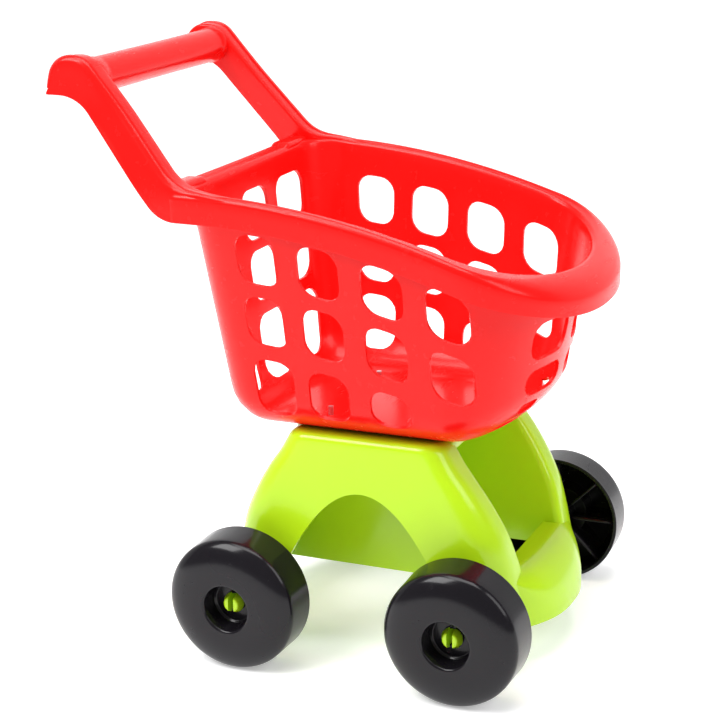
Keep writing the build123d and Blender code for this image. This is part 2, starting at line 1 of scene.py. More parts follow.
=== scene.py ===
"""A child's shopping cart in glossy moulded plastic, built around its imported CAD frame.

A red pierced basket with two leaning channel arms and a push bar stands on a lime saddle
base, with four hollow black wheels that snap onto split pins.
"""

import logging
import math
from dataclasses import dataclass, field
from enum import Enum

import bmesh
import bpy
from mathutils import Matrix, Vector

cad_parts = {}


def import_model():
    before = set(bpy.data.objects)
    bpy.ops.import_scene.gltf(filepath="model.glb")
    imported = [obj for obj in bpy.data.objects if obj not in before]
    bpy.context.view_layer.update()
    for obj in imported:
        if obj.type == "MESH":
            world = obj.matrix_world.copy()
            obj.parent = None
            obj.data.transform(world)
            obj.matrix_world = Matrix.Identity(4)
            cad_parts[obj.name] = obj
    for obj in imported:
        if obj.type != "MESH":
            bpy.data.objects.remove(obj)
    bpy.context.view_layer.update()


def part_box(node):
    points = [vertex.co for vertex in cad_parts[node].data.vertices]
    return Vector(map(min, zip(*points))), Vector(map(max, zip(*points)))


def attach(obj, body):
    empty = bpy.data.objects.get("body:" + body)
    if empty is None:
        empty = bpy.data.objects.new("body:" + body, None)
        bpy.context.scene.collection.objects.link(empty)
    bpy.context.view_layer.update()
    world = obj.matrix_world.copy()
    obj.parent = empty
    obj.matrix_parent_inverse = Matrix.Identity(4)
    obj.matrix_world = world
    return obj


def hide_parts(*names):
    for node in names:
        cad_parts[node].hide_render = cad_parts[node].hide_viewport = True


log = logging.getLogger("shopping_cart")

MM = 0.001
RIGHT, LEFT = -1, 1
Point = tuple[float, float, float]
Spot = tuple[float, float]


# ---------------------------------------------------------------- mesh helpers

class Draft:
    """Collects points in millimetres and faces, and turns them into a Blender object."""

    def __init__(self) -> None:
        """Starts with no points."""
        self.points: list[Point] = []
        self.faces: list[tuple[int, ...]] = []

    def add(self, point: Point) -> int:
        """Adds one point and returns its number."""
        self.points.append(point)
        return len(self.points) - 1

    def grid(self, rows: list[list[Point]], closed: bool = False) -> list[list[int]]:
        """Joins rows of points with quads.

        Args:
            rows: lists of points, all of one length.
            closed: whether each row is a loop.

        Returns:
            The numbers of the points, row by row.
        """
        numbers = [[self.add(point) for point in row] for row in rows]
        count = len(rows[0])
        for low, high in zip(numbers, numbers[1:]):
            for i in range(count if closed else count - 1):
                j = (i + 1) % count
                self.faces.append((low[i], low[j], high[j], high[i]))
        return numbers

    def make(self, name: str, weld: float = 0.004, flip: bool = False) -> bpy.types.Object:
        """Makes a smooth-shaded object with its faces turned one way.

        Args:
            name: the object's name.
            weld: how near two points are one, in millimetres.
            flip: whether the faces turn the other way.

        Returns:
            The new object, linked to the scene.
        """
        mesh = bpy.data.meshes.new(name)
        mesh.from_pydata([tuple(v * MM for v in point) for point in self.points], [], self.faces)
        work = bmesh.new()
        work.from_mesh(mesh)
        bmesh.ops.remove_doubles(work, verts=work.verts, dist=weld * MM)
        bmesh.ops.dissolve_degenerate(work, dist=weld * MM, edges=work.edges)
        bmesh.ops.recalc_face_normals(work, faces=work.faces)
        if flip:
            bmesh.ops.reverse_faces(work, faces=work.faces)
        for face in work.faces:
            face.smooth = True
        work.to_mesh(mesh)
        work.free()
        piece = bpy.data.objects.new(name, mesh)
        bpy.context.scene.collection.objects.link(piece)
        return piece


def thicken(piece: bpy.types.Object, wall: float) -> None:
    """Gives a sheet a wall behind its front face.

    Args:
        piece: the sheet.
        wall: the wall in millimetres, behind the faces' fronts.
    """
    solid = piece.modifiers.new("Wall", "SOLIDIFY")
    solid.thickness = wall * MM
    solid.offset = -1.0
    solid.use_even_offset = False
    solid.use_quality_normals = True


def soften(piece: bpy.types.Object, width: float, segments: int = 3, angle: float = 50.0) -> None:
    """Rounds a piece's sharp edges.

    Args:
        piece: the piece.
        width: the width of the rounding in millimetres.
        segments: how many faces it has across.
        angle: the sharpest turn that stays, in degrees.
    """
    bevel = piece.modifiers.new("Rounded edges", "BEVEL")
    bevel.width = width * MM
    bevel.segments = segments
    bevel.limit_method = "ANGLE"
    bevel.angle_limit = math.radians(angle)
    bevel.harden_normals = True
    bevel.use_clamp_overlap = True


def settle(piece: bpy.types.Object) -> None:
    """Applies a piece's modifiers to its mesh.

    Args:
        piece: the piece.
    """
    bpy.context.view_layer.update()
    depsgraph = bpy.context.evaluated_depsgraph_get()
    mesh = bpy.data.meshes.new_from_object(piece.evaluated_get(depsgraph),
                                           preserve_all_data_layers=True, depsgraph=depsgraph)
    old = piece.data
    piece.modifiers.clear()
    piece.data = mesh
    bpy.data.meshes.remove(old)


def blend(a: float, b: float, share: float) -> float:
    """The value a share of the way from a to b."""
    return a + (b - a) * share


def smooth_step(value: float) -> float:
    """Runs from 0 to 1 with level ends, for a value from 0 to 1."""
    held = min(1.0, max(0.0, value))
    return held * held * (3.0 - 2.0 * held)


def steps(start: float, end: float, count: int) -> list[float]:
    """Evenly spaced values from start to end, both included."""
    return [blend(start, end, i / count) for i in range(count + 1)]


def rounded_path(corners: list[Spot], radii: list[float], straight: list[int],
                 turn: int) -> list[Spot]:
    """A path through corners, each rounded by an arc.

    Args:
        corners: the path's ends and its corners.
        radii: the radius at each inner corner.
        straight: how many steps each straight stretch has.
        turn: how many steps each arc has.

    Returns:
        The points of the path.
    """
    cuts: list[tuple[Vector, Vector, Vector, float]] = []
    for before, here, after, radius in zip(corners, corners[1:], corners[2:], radii):
        at = Vector(here)
        back, ahead = (Vector(before) - at).normalized(), (Vector(after) - at).normalized()
        half = back.angle(ahead) / 2
        reach = radius / math.tan(half)
        centre = at + (back + ahead).normalized() * (radius / math.sin(half))
        cuts.append((at + back * reach, at + ahead * reach, centre, radius))
    path: list[Spot] = []
    start = Vector(corners[0])
    for number, count in enumerate(straight):
        end = cuts[number][0] if number < len(cuts) else Vector(corners[-1])
        path += [tuple(start.lerp(end, i / count)) for i in range(count)]
        if number < len(cuts):
            first, last, centre, radius = cuts[number]
            spoke, final = first - centre, last - centre
            for i in range(turn):
                share = spoke.normalized().slerp(final.normalized(), i / turn)
                path.append(tuple(centre + share * radius))
            start = last
    path.append(corners[-1])
    return path


def lathe(outline: list[Spot], centre: Point, side: int, facets: int = 96) -> Draft:
    """Turns an outline about an axle that lies along Y.

    Args:
        outline: (radius, distance outwards) points of a closed outline, in millimetres.
        centre: the point on the axle that distances start from.
        side: RIGHT or LEFT, the way that distances run.
        facets: how many steps go round.

    Returns:
        The draft of the turned piece.
    """
    draft = Draft()
    loop = outline + [outline[0]]
    rows = []
    for number in range(facets):
        turn = math.tau * number / facets
        rows.append([(centre[0] + radius * math.cos(turn), centre[1] + side * out,
                      centre[2] + radius * math.sin(turn)) for radius, out in loop])
    rows.append(rows[0])
    draft.grid(rows)
    return draft


# ---------------------------------------------------------------- finishes

class Wear(Enum):
    """How much a moulded surface has been handled."""

    NEW = 0.35
    HANDLED = 0.8
    ROLLED = 1.0


@dataclass(frozen=True)
class Plastic:
    """A glossy moulded plastic with faint flow marks, orange peel and handling marks.

    Attributes:
        name: the material's name.
        colour: the pigment, linear.
        pale: the colour where the pigment is thin or rubbed, linear.
        deep: the colour where the pigment is dense, linear.
        roughness: the roughness of the clean surface.
        coat: the weight of the glossy skin.
        glow: how much light passes through under the surface.
        wear: how much the surface has been handled.
        shine: the specular level under the coat.
    """

    name: str
    colour: tuple[float, float, float]
    pale: tuple[float, float, float]
    deep: tuple[float, float, float]
    roughness: float = 0.24
    coat: float = 0.35
    glow: float = 0.0
    wear: Wear = Wear.NEW
    shine: float = 0.28

    def make(self, skin: bpy.types.NodeTree) -> bpy.types.Material:
        """Builds the material.

        Args:
            skin: the shared moulded-skin group.

        Returns:
            The material.
        """
        material = bpy.data.materials.new(self.name)
        material.use_nodes = True
        tree = material.node_tree
        shader = next(node for node in tree.nodes if node.type == "BSDF_PRINCIPLED")
        group = tree.nodes.new("ShaderNodeGroup")
        group.node_tree = skin
        group.inputs["Pigment"].default_value = (*self.colour, 1.0)
        group.inputs["Pale"].default_value = (*self.pale, 1.0)
        group.inputs["Deep"].default_value = (*self.deep, 1.0)
        group.inputs["Clean Roughness"].default_value = self.roughness
        group.inputs["Wear"].default_value = self.wear.value
        bump = tree.nodes.new("ShaderNodeBump")
        bump.inputs["Strength"].default_value = 0.12
        bump.inputs["Distance"].default_value = 0.12 * MM
        tree.links.new(group.outputs["Colour"], shader.inputs["Base Color"])
        tree.links.new(group.outputs["Roughness"], shader.inputs["Roughness"])
        tree.links.new(group.outputs["Relief"], bump.inputs["Height"])
        tree.links.new(bump.outputs["Normal"], shader.inputs["Normal"])
        shader.inputs["Coat Weight"].default_value = self.coat
        shader.inputs["Coat Roughness"].default_value = 0.09
        shader.inputs["IOR"].default_value = 1.5
        shader.inputs["Specular IOR Level"].default_value = self.shine
        shader.inputs["Subsurface Weight"].default_value = self.glow
        shader.inputs["Subsurface Radius"].default_value = (1.0, 0.35, 0.2)
        shader.inputs["Subsurface Scale"].default_value = 2.0 * MM
        return material


@dataclass(frozen=True)
class PlainMetal:
    """Zinc-plated steel for the hidden screws."""

    name: str
    colour: tuple[float, float, float] = (0.56, 0.56, 0.58)

    def make(self, skin: bpy.types.NodeTree) -> bpy.types.Material:
        """Builds the material, with its roughness broken up by the shared skin.

        Args:
            skin: the shared moulded-skin group.

        Returns:
            The material.
        """
        material = bpy.data.materials.new(self.name)
        material.use_nodes = True
        tree = material.node_tree
        shader = next(node for node in tree.nodes if node.type == "BSDF_PRINCIPLED")
        group = tree.nodes.new("ShaderNodeGroup")
        group.node_tree = skin
        group.inputs["Pigment"].default_value = (*self.colour, 1.0)
        group.inputs["Pale"].default_value = (0.66, 0.66, 0.66, 1.0)
        group.inputs["Deep"].default_value = (0.40, 0.40, 0.42, 1.0)
        group.inputs["Clean Roughness"].default_value = 0.34
        group.inputs["Wear"].default_value = Wear.HANDLED.value
        shader.inputs["Metallic"].default_value = 1.0
        tree.links.new(group.outputs["Colour"], shader.inputs["Base Color"])
        tree.links.new(group.outputs["Roughness"], shader.inputs["Roughness"])
        return material


class SkinGroup:
    """The shared shader group of a moulded skin: flow marks, orange peel and rubbed edges."""

    INPUTS = (("Pigment", "NodeSocketColor"), ("Pale", "NodeSocketColor"),
              ("Deep", "NodeSocketColor"), ("Clean Roughness", "NodeSocketFloat"),
              ("Wear", "NodeSocketFloat"))
    OUTPUTS = (("Colour", "NodeSocketColor"), ("Roughness", "NodeSocketFloat"),
               ("Relief", "NodeSocketFloat"))

    def __init__(self) -> None:
        """Makes the group's tree and its sockets."""
        self.tree = bpy.data.node_groups.new("Moulded skin", "ShaderNodeTree")
        for name, kind in self.INPUTS:
            self.tree.interface.new_socket(name=name, in_out="INPUT", socket_type=kind)
        for name, kind in self.OUTPUTS:
            self.tree.interface.new_socket(name=name, in_out="OUTPUT", socket_type=kind)
        self.source = self.tree.nodes.new("NodeGroupInput")
        self.result = self.tree.nodes.new("NodeGroupOutput")
        self.spot = self.tree.nodes.new("ShaderNodeTexCoord")

    def noise(self, per_metre: float, detail: float, stretch: Point = (1, 1, 1)) -> bpy.types.Node:
        """Adds a noise over the object's own space.

        Args:
            per_metre: its scale.
            detail: its octaves.
            stretch: how it is scaled along each axis.

        Returns:
            The noise node.
        """
        mapping = self.tree.nodes.new("ShaderNodeMapping")
        mapping.inputs["Scale"].default_value = stretch
        node = self.tree.nodes.new("ShaderNodeTexNoise")
        node.inputs["Scale"].default_value = per_metre
        node.inputs["Detail"].default_value = detail
        self.tree.links.new(self.spot.outputs["Object"], mapping.inputs["Vector"])
        self.tree.links.new(mapping.outputs["Vector"], node.inputs["Vector"])
        return node

    def sum(self, operation: str, a: object, b: object, clamp: bool = False) -> object:
        """Adds a Math node and returns its output.

        Args:
            operation: the node's operation.
            a: a socket or a number.
            b: a socket or a number.
            clamp: whether the result stays from 0 to 1.

        Returns:
            The output socket.
        """
        node = self.tree.nodes.new("ShaderNodeMath")
        node.operation = operation
        node.use_clamp = clamp
        for socket, value in zip(node.inputs, (a, b)):
            if isinstance(value, bpy.types.NodeSocket):
                self.tree.links.new(value, socket)
            else:
                socket.default_value = value
        return node.outputs[0]

    def ramp(self, value: object, low: float, high: float) -> object:
        """Stretches a value from low..high to 0..1 and returns the output socket.

        Args:
            value: the value.
            low: the value that gives 0.
            high: the value that gives 1.

        Returns:
            The output socket.
        """
        node = self.tree.nodes.new("ShaderNodeMapRange")
        node.interpolation_type = "SMOOTHSTEP"
        node.inputs["From Min"].default_value = low
        node.inputs["From Max"].default_value = high
        self.tree.links.new(value, node.inputs["Value"])
        return node.outputs["Result"]

    def mix(self, share: object, a: object, b: object) -> object:
        """Mixes two colour sockets and returns the output socket.

        Args:
            share: the share of b.
            a: the first colour.
            b: the second colour.

        Returns:
            The output socket.
        """
        node = self.tree.nodes.new("ShaderNodeMix")
        node.data_type = "RGBA"
        self.tree.links.new(share, node.inputs["Factor"])
        self.tree.links.new(a, node.inputs["A"])
        self.tree.links.new(b, node.inputs["B"])
        return node.outputs["Result"]

    def build(self) -> bpy.types.NodeTree:
        """Wires the group and returns its tree.

        Returns:
            The group's tree.
        """
        inputs, links = self.source.outputs, self.tree.links
        flow = self.noise(9.0, 3.0, (1.0, 1.0, 0.35))
        cloud = self.noise(34.0, 4.0)
        peel = self.noise(620.0, 2.0)
        marks = self.noise(150.0, 6.0, (1.0, 0.25, 1.0))
        geometry = self.tree.nodes.new("ShaderNodeNewGeometry")
        edge = self.ramp(geometry.outputs["Pointiness"], 0.515, 0.56)
        dense = self.sum("MULTIPLY", self.ramp(flow.outputs["Fac"], 0.35, 0.75), 0.30)
        tone = self.mix(dense, inputs["Pigment"], inputs["Deep"])
        rubbed = self.sum("MULTIPLY", edge, self.ramp(cloud.outputs["Fac"], 0.30, 0.70))
        thin = self.sum("MULTIPLY", rubbed, self.sum("MULTIPLY", inputs["Wear"], 0.35), True)
        colour = self.mix(thin, tone, inputs["Pale"])
        scuff = self.ramp(marks.outputs["Fac"], 0.56, 0.72)
        dull = self.sum("MULTIPLY", scuff, self.sum("MULTIPLY", inputs["Wear"], 0.10))
        haze = self.sum("MULTIPLY", cloud.outputs["Fac"], 0.06)
        rough = self.sum("ADD", inputs["Clean Roughness"], self.sum("ADD", dull, haze), True)
        relief = self.sum("ADD", peel.outputs["Fac"], self.sum("MULTIPLY", scuff, -0.25))
        links.new(colour, self.result.inputs["Colour"])
        links.new(rough, self.result.inputs["Roughness"])
        links.new(relief, self.result.inputs["Relief"])
        return self.tree


@dataclass
class Finishes:
    """All the cart's materials, made once."""

    red: bpy.types.Material = field(init=False)
    lime: bpy.types.Material = field(init=False)
    black: bpy.types.Material = field(init=False)
    steel: bpy.types.Material = field(init=False)

    def __post_init__(self) -> None:
        """Builds each material around the shared skin."""
        skin = SkinGroup().build()
        self.red = Plastic("Red moulded plastic", (0.76, 0.005, 0.004), (0.86, 0.020, 0.016),
                           (0.62, 0.003, 0.003), 0.20, 0.08, 0.06, Wear.HANDLED, 0.15).make(skin)
        self.lime = Plastic("Lime moulded plastic", (0.44, 0.70, 0.010), (0.52, 0.76, 0.06),
                            (0.34, 0.58, 0.006), 0.18, 0.2, 0.06, Wear.NEW, 0.25).make(skin)
        self.black = Plastic("Black moulded plastic", (0.007, 0.006, 0.008),
                             (0.02, 0.018, 0.021), (0.004, 0.0035, 0.0045), 0.16, 0.14, 0.0,
                             Wear.ROLLED, 0.16).make(skin)
        self.steel = PlainMetal("Zinc plated steel").make(skin)


def dress(piece: bpy.types.Object, material: bpy.types.Material, body: str,
          nodes: tuple[str, ...] = ()) -> bpy.types.Object:
    """Gives a piece its material, its body and the nodes that it stands for.

    Args:
        piece: the piece.
        material: its material.
        body: the CAD body that it rides on.
        nodes: the CAD nodes that it replaces.

    Returns:
        The piece.
    """
    piece.data.materials.clear()
    piece.data.materials.append(material)
    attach(piece, body)
    if nodes:
        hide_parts(*nodes)
    log.info("%s rides on %s", piece.name, body)
    return piece


# ---------------------------------------------------------------- the frame's places

@dataclass
class Places:
    """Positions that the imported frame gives, in millimetres.

    Attributes:
        mid_x: the middle between the axles.
        axle_z: the height of the axles.
        wheel_radius: the wheels' radius.
        wheel_in: how far out the wheels' inner faces are.
        wheel_out: how far out the wheels' outer faces are.
    """

    mid_x: float = field(init=False)
    axle_z: float = field(init=False)
    wheel_radius: float = field(init=False)
    wheel_in: float = field(init=False)
    wheel_out: float = field(init=False)

    def __post_init__(self) -> None:
        """Reads the wheels' boxes."""
        rear_low, _ = self.box("wheel_rear_left")
        front_low, front_high = self.box("wheel_front_left")
        self.wheel_radius = (front_high.z - front_low.z) / 2
        self.axle_z = self.wheel_radius
        self.mid_x = (rear_low.x + front_high.x) / 2
        self.wheel_in, self.wheel_out = front_low.y, front_high.y

    @staticmethod
    def box(node: str) -> tuple[Vector, Vector]:
        """A node's lowest and highest corners in millimetres."""
        low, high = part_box(node)
        return low / MM, high / MM


# ---------------------------------------------------------------- basket

class Zone(Enum):
    """The stretches of the basket's wall, going round it."""

    REAR = "rear wall"
    CORNER = "rear corner"
    SIDE = "side wall"
    TURN = "turn into the nose"
    NOSE = "nose"


@dataclass(frozen=True)
class Column:
    """One upright strip of the basket's wall.

    Attributes:
        zone: the stretch that it lies in.
        start: where it begins, as its zone measures.
        end: where it ends.
        side: RIGHT or LEFT.
        windows: which of the rows, from the lowest, have a window.
    """

    zone: Zone
    start: float
    end: float
    side: int
    windows: tuple[bool, bool, bool] = (False, False, False)

    def value(self, t: float) -> float:
        """The zone's own measure at a share across the strip; the left side runs back."""
        share = 1.0 - t if self.side == LEFT and self.zone is not Zone.REAR else t
        return blend(self.start, self.end, share)


@dataclass
class Tub:
    """The basket's pierced tub with its turned-down rim. Sizes are in millimetres.

    Places along the cart are measured from the middle between the axles.
    """

    places: Places
    wall: float = 2.6
    floor_z: float = 169.0
    top_z: float = 346.0
    floor_half: float = 88.0
    top_half: float = 112.0
    floor_rear: float = 104.0
    top_rear: float = 124.0
    floor_nose: float = 112.0
    top_nose: float = 149.0
    floor_straight: float = 60.0
    top_straight: float = 80.0
    floor_corner: float = 28.0
    top_corner: float = 32.0
    foot_radius: float = 28.0
    nose_foot_radius: float = 42.0
    rim_half: float = 119.0
    rim_rear: float = 137.0
    rim_nose: float = 155.0
    rim_straight: float = 82.0
    rim_corner: float = 20.0
    rim_roundness: float = 2.1
    rim_skirt: float = 20.0
    rim_rear_z: float = 345.5
    rim_fall: float = 8.5
    rim_fall_start: float = -121.0
    row_drops: tuple[float, float, float] = (21.25, 66.75, 112.25)
    last_row_z: float = 178.0
    nose_rows: tuple[float, float, float, float] = (183.0, 198.5, 225.0, 260.0)
    side_start: float = -89.0
    column_ends: tuple[float, ...] = (-43.0, 3.5, 49.5, 95.5)
    nose_share: float = 0.62
    window_radius: float = 11.5
    rear_wrap: float = 25.0
    rear_lift: float = 5.0
    cell_steps: int = 8

    # where things are

    def share(self, z: float) -> float:
        """How far up the tub a height is."""
        return (z - self.floor_z) / (self.top_z - self.floor_z)

    def rim_z(self, x: float) -> float:
        """The rim's height at a place along the cart."""
        return self.rim_rear_z - self.rim_fall * ((x - self.rim_fall_start) / 100.0) ** 2

    def foot(self, nose: float) -> float:
        """The radius between wall and floor, from the sides to the nose."""
        return blend(self.foot_radius, self.nose_foot_radius, smooth_step(nose))

    def tuck(self, z: float, radius: float) -> float:
        """How far the wall is drawn in at a height by its round foot.

        Args:
            z: the height.
            radius: the foot's radius there.

        Returns:
            The distance.
        """
        rise = z - self.floor_z
        if rise >= radius:
            return 0.0
        return radius - math.sqrt(max(0.0, radius ** 2 - (radius - rise) ** 2))

    def nose_angle(self, x: float, z: float) -> float:
        """The angle on the nose's ellipse of a place along the cart, from the straight.

        Args:
            x: the place along the cart.
            z: the height.

        Returns:
            The angle, in radians.
        """
        straight = blend(self.floor_straight, self.top_straight, self.share(z))
        nose = blend(self.floor_nose, self.top_nose, self.share(z))
        return math.asin(min(1.0, max(0.0, (x - straight) / (nose - straight))))

    def turn_ends(self, z: float) -> tuple[float, float]:
        """The angles at which the turn into the nose starts and ends."""
        end = math.acos(self.nose_share)
        return min(self.nose_angle(self.column_ends[-1], z), end - math.radians(15)), end

    def wall_spot(self, column: Column, t: float, z: float,
                  tuck: float | None = None) -> tuple[float, float, float]:
        """A place on the wall's outer face.

        Args:
            column: the strip.
            t: how far across the strip.
            z: the height.
            tuck: how far the wall is drawn in, or None to follow the round foot.

        Returns:
            x, y, and how far round the nose the place is, from 0 to 1.
        """
        share = self.share(z)
        straight = blend(self.floor_straight, self.top_straight, share)
        nose_x = blend(self.floor_nose, self.top_nose, share)
        half = blend(self.floor_half, self.top_half, share)
        rear = -blend(self.floor_rear, self.top_rear, share)
        corner = blend(self.floor_corner, self.top_corner, share)
        value = column.value(t)
        angle, turned = self.nose_place(column, t, z)
        drawn = self.tuck(z, self.foot(turned)) if tuck is None else tuck
        half, nose_x, rear = half - drawn, nose_x - drawn, rear + drawn
        corner = max(2.0, corner - drawn)
        if column.zone is Zone.REAR:
            along, turn = self.rear_place(value, half, corner)
            return rear + corner * (1 - math.cos(turn)), along + math.copysign(
                corner * math.sin(turn), value), 0.0
        if column.zone is Zone.CORNER:
            turn = math.radians(90 * value)
            return (rear + corner * (1 - math.cos(turn)),
                    column.side * (half - corner * (1 - math.sin(turn))), 0.0)
        if column.zone is Zone.SIDE and angle == 0.0:
            if column.start == self.side_start:
                value += (column.end - value) / (column.end - column.start) * (
                    rear + corner - self.side_start)
            return value, column.side * half, 0.0
        return (straight + (nose_x - straight) * math.sin(angle),
                column.side * half * math.cos(angle), turned)

    def rear_place(self, value: float, half: float, corner: float) -> tuple[float, float]:
        """How far out a place on the rear wall is, and how far it wraps round the corner.

        Args:
            value: the place from -1 to 1 over the wall and the corners' first part.
            half: half the basket's width there.
            corner: the corner's radius there.

        Returns:
            The distance along the straight part and the turn round the corner.
        """
        flat = half - corner
        along = abs(value) * (flat + corner * math.radians(self.rear_wrap))
        return (math.copysign(min(along, flat), value), max(0.0, along - flat) / corner)

    def nose_place(self, column: Column, t: float, z: float) -> tuple[float, float]:
        """The angle on the nose's ellipse, and how far round the nose that is.

        Args:
            column: the strip of the wall.
            t: the share across the strip.
            z: the height.

        Returns:
            The angle in radians, and how far round the nose it is, from 0 to 1.
        """
        turn_start, turn_end = self.turn_ends(z)
        value = column.value(t)
        if column.zone is Zone.SIDE:
            angle = min(self.nose_angle(value, z), turn_start)
        elif column.zone is Zone.TURN:
            angle = blend(turn_start, turn_end, value)
        elif column.zone is Zone.NOSE:
            angle = math.acos(self.nose_share * value)
        else:
            angle = 0.0
        return angle, angle / (math.pi / 2)

    def rim_spot(self, column: Column, t: float, x: float) -> Spot:
        """The place on the rim's outline that faces a place on the wall's top.

        Args:
            column: the strip of the wall.
            t: the share across the strip.
            x: the place along the cart.

        Returns:
            The place along the cart and across it.
        """
        value = column.value(t)
        if column.zone is Zone.REAR:
            along, turn = self.rear_place(value, self.rim_half, self.rim_corner)
            return (-self.rim_rear + self.rim_corner * (1 - math.cos(turn)),
                    along + math.copysign(self.rim_corner * math.sin(turn), value))
        if column.zone is Zone.CORNER:
            turn = math.radians(90 * value)
            return (-self.rim_rear + self.rim_corner * (1 - math.cos(turn)),
                    column.side * (self.rim_half - self.rim_corner * (1 - math.sin(turn))))
        angle, _ = self.nose_place(column, t, self.rim_z(x))
        if angle == 0.0:
            return x, column.side * self.rim_half
        power = 2.0 / self.rim_roundness
        reach = self.rim_nose - self.rim_straight
        return (self.rim_straight + reach * math.sin(angle) ** power,
                column.side * self.rim_half * math.cos(angle) ** power)

    def row_heights(self, column: Column, t: float) -> list[float]:
        """The heights of the edges of the window rows, from the lowest.

        Args:
            column: the strip of the wall.
            t: the share across the strip.

        Returns:
            One height for each edge.
        """
        value = column.value(t)
        x, lift = self.column_ends[-1], 0.0
        if column.zone is Zone.REAR:
            x, lift = -self.top_rear, self.rear_lift
        elif column.zone is Zone.CORNER:
            share = (value - self.rear_wrap / 90) / (1 - self.rear_wrap / 90)
            x = blend(-self.top_rear, self.side_start, share)
            lift = self.rear_lift * (1 - smooth_step(share))
        elif column.zone is Zone.SIDE:
            x = value
        side = [self.last_row_z] + [self.rim_z(x) - drop + lift
                                    for drop in reversed(self.row_drops)]
        if column.zone is Zone.NOSE:
            return list(self.nose_rows)
        if column.zone is Zone.TURN:
            return [blend(a, b, smooth_step(value)) for a, b in zip(side, self.nose_rows)]
        return side

    # the mesh

    def columns(self) -> list[Column]:
        """All the strips in order, from the rear wall's right end round to its left.

        Returns:
            The strips.
        """
        rows = (True, True, True)
        ends = (self.side_start, *self.column_ends)
        right = [Column(Zone.CORNER, self.rear_wrap / 90, 1.0, RIGHT)]
        for number, (start, end) in enumerate(zip(ends, ends[1:])):
            windows = rows if number < 3 else (False, True, True)
            right.append(Column(Zone.SIDE, start, end, RIGHT, windows))
        right.append(Column(Zone.TURN, 0.0, 1.0, RIGHT))
        right.append(Column(Zone.NOSE, 1.0, 0.0, RIGHT, rows))
        left = [Column(c.zone, c.start, c.end, LEFT, c.windows) for c in reversed(right)]
        rear = [Column(Zone.REAR, a, b, LEFT, rows)
                for a, b in ((1.0, 1 / 3), (1 / 3, -1 / 3), (-1 / 3, -1.0))]
        return right + left + rear

    def window(self, column: Column, low: int) -> list[Spot]:
        """The outline of one window in its cell's own shares, from its lower edge.

        Args:
            column: the strip that the window is in.
            low: the number of the row's lower edge.

        Returns:
            Points that face the cell's border points one by one.
        """
        heights = self.row_heights(column, 0.5)
        tall = heights[low + 1] - heights[low]
        middle = (heights[low] + heights[low + 1]) / 2
        first = Vector(self.wall_spot(column, 0.0, middle)[:2])
        last = Vector(self.wall_spot(column, 1.0, middle)[:2])
        wide = (last - first).length
        if column.zone is Zone.NOSE:
            inner, outer, low_gap, high_gap = 6.5, 7.0, 3.0, 4.0
        elif column.zone is Zone.REAR:
            inner, outer = 5.5, wide - 5.5 - 45.0
            if column.start * column.end < 0:
                inner = outer = (wide - 41.0) / 2
            elif column.start < 0:
                inner, outer = outer, inner
            low_gap, high_gap = 4.5, 3.5
        else:
            inner, outer = (wide - 30.5) / 2 + 1.0, (wide - 30.5) / 2 - 1.0
            low_gap, high_gap = 5.0, 4.2
        if column.zone is Zone.NOSE and low == 0:
            outer, low_gap, high_gap = 26.0, 3.5, 3.0
        if column.side == LEFT:
            inner, outer = outer, inner
        if low == 0 and column.zone is not Zone.NOSE:
            low_gap, high_gap = 4.0, 5.8
        half_w = (wide - inner - outer) / 2
        half_h = (tall - low_gap - high_gap) / 2
        radius = min(self.window_radius, half_w, half_h)
        centre = (inner + half_w, low_gap + half_h)
        outline = []
        count = self.cell_steps
        for across, up in cell_border(count):
            ax, ay = 2 * across - 1, 2 * up - 1
            outline.append(rounded_square(ax, ay, half_w, half_h, radius))
        return [((centre[0] + x) / wide, (centre[1] + y) / tall) for x, y in outline]

    def cell(self, draft: Draft, column: Column, low: int, open_cell: bool) -> None:
        """Adds one cell of the wall, plain or with a window.

        Args:
            draft: the mesh draft.
            column: the strip that the cell is in.
            low: the number of the row's lower edge.
            open_cell: whether it has a window.
        """
        def place(across: float, up: float) -> Point:
            """Turns a place in the cell into CAD coordinates."""
            heights = self.row_heights(column, across)
            z = blend(heights[low], heights[low + 1], up)
            x, y, _ = self.wall_spot(column, across, z)
            return self.places.mid_x + x, y, z

        count = self.cell_steps
        if not open_cell:
            draft.grid([[place(i / count, j / count) for i in range(count + 1)]
                        for j in range(count + 1)])
            return
        border = cell_border(count)
        hole = self.window(column, low)
        rings = []
        for share in (0.0, 0.4, 0.75, 1.0):
            rings.append([place(blend(a[0], b[0], share), blend(a[1], b[1], share))
                          for a, b in zip(border, hole)])
        draft.grid(rings, closed=True)

    def foot_rows(self, column: Column, t: float) -> list[Point]:
        """The points of the round foot and the floor below one place on the wall.

        Args:
            column: the strip of the wall.
            t: the share across the strip.

        Returns:
            The points, from the middle of the floor to the wall.
        """
        _, _, turned = self.wall_spot(column, t, self.last_row_z)
        radius = self.foot(turned)
        first = math.asin(1 - (self.last_row_z - self.floor_z) / radius)
        rows = []
        for angle in steps(math.pi / 2, first, 7):
            z = self.floor_z + radius * (1 - math.sin(angle))
            tuck = radius * (1 - math.cos(angle))
            x, y, _ = self.wall_spot(column, t, z, tuck)
            rows.append((self.places.mid_x + x, y, z))
        edge = rows[0]
        centre = self.places.mid_x
        floor = [(blend(centre, edge[0], share), edge[1] * share, self.floor_z)
                 for share in (0.0, 0.1, 0.35, 0.6, 0.82)]
        return floor + rows

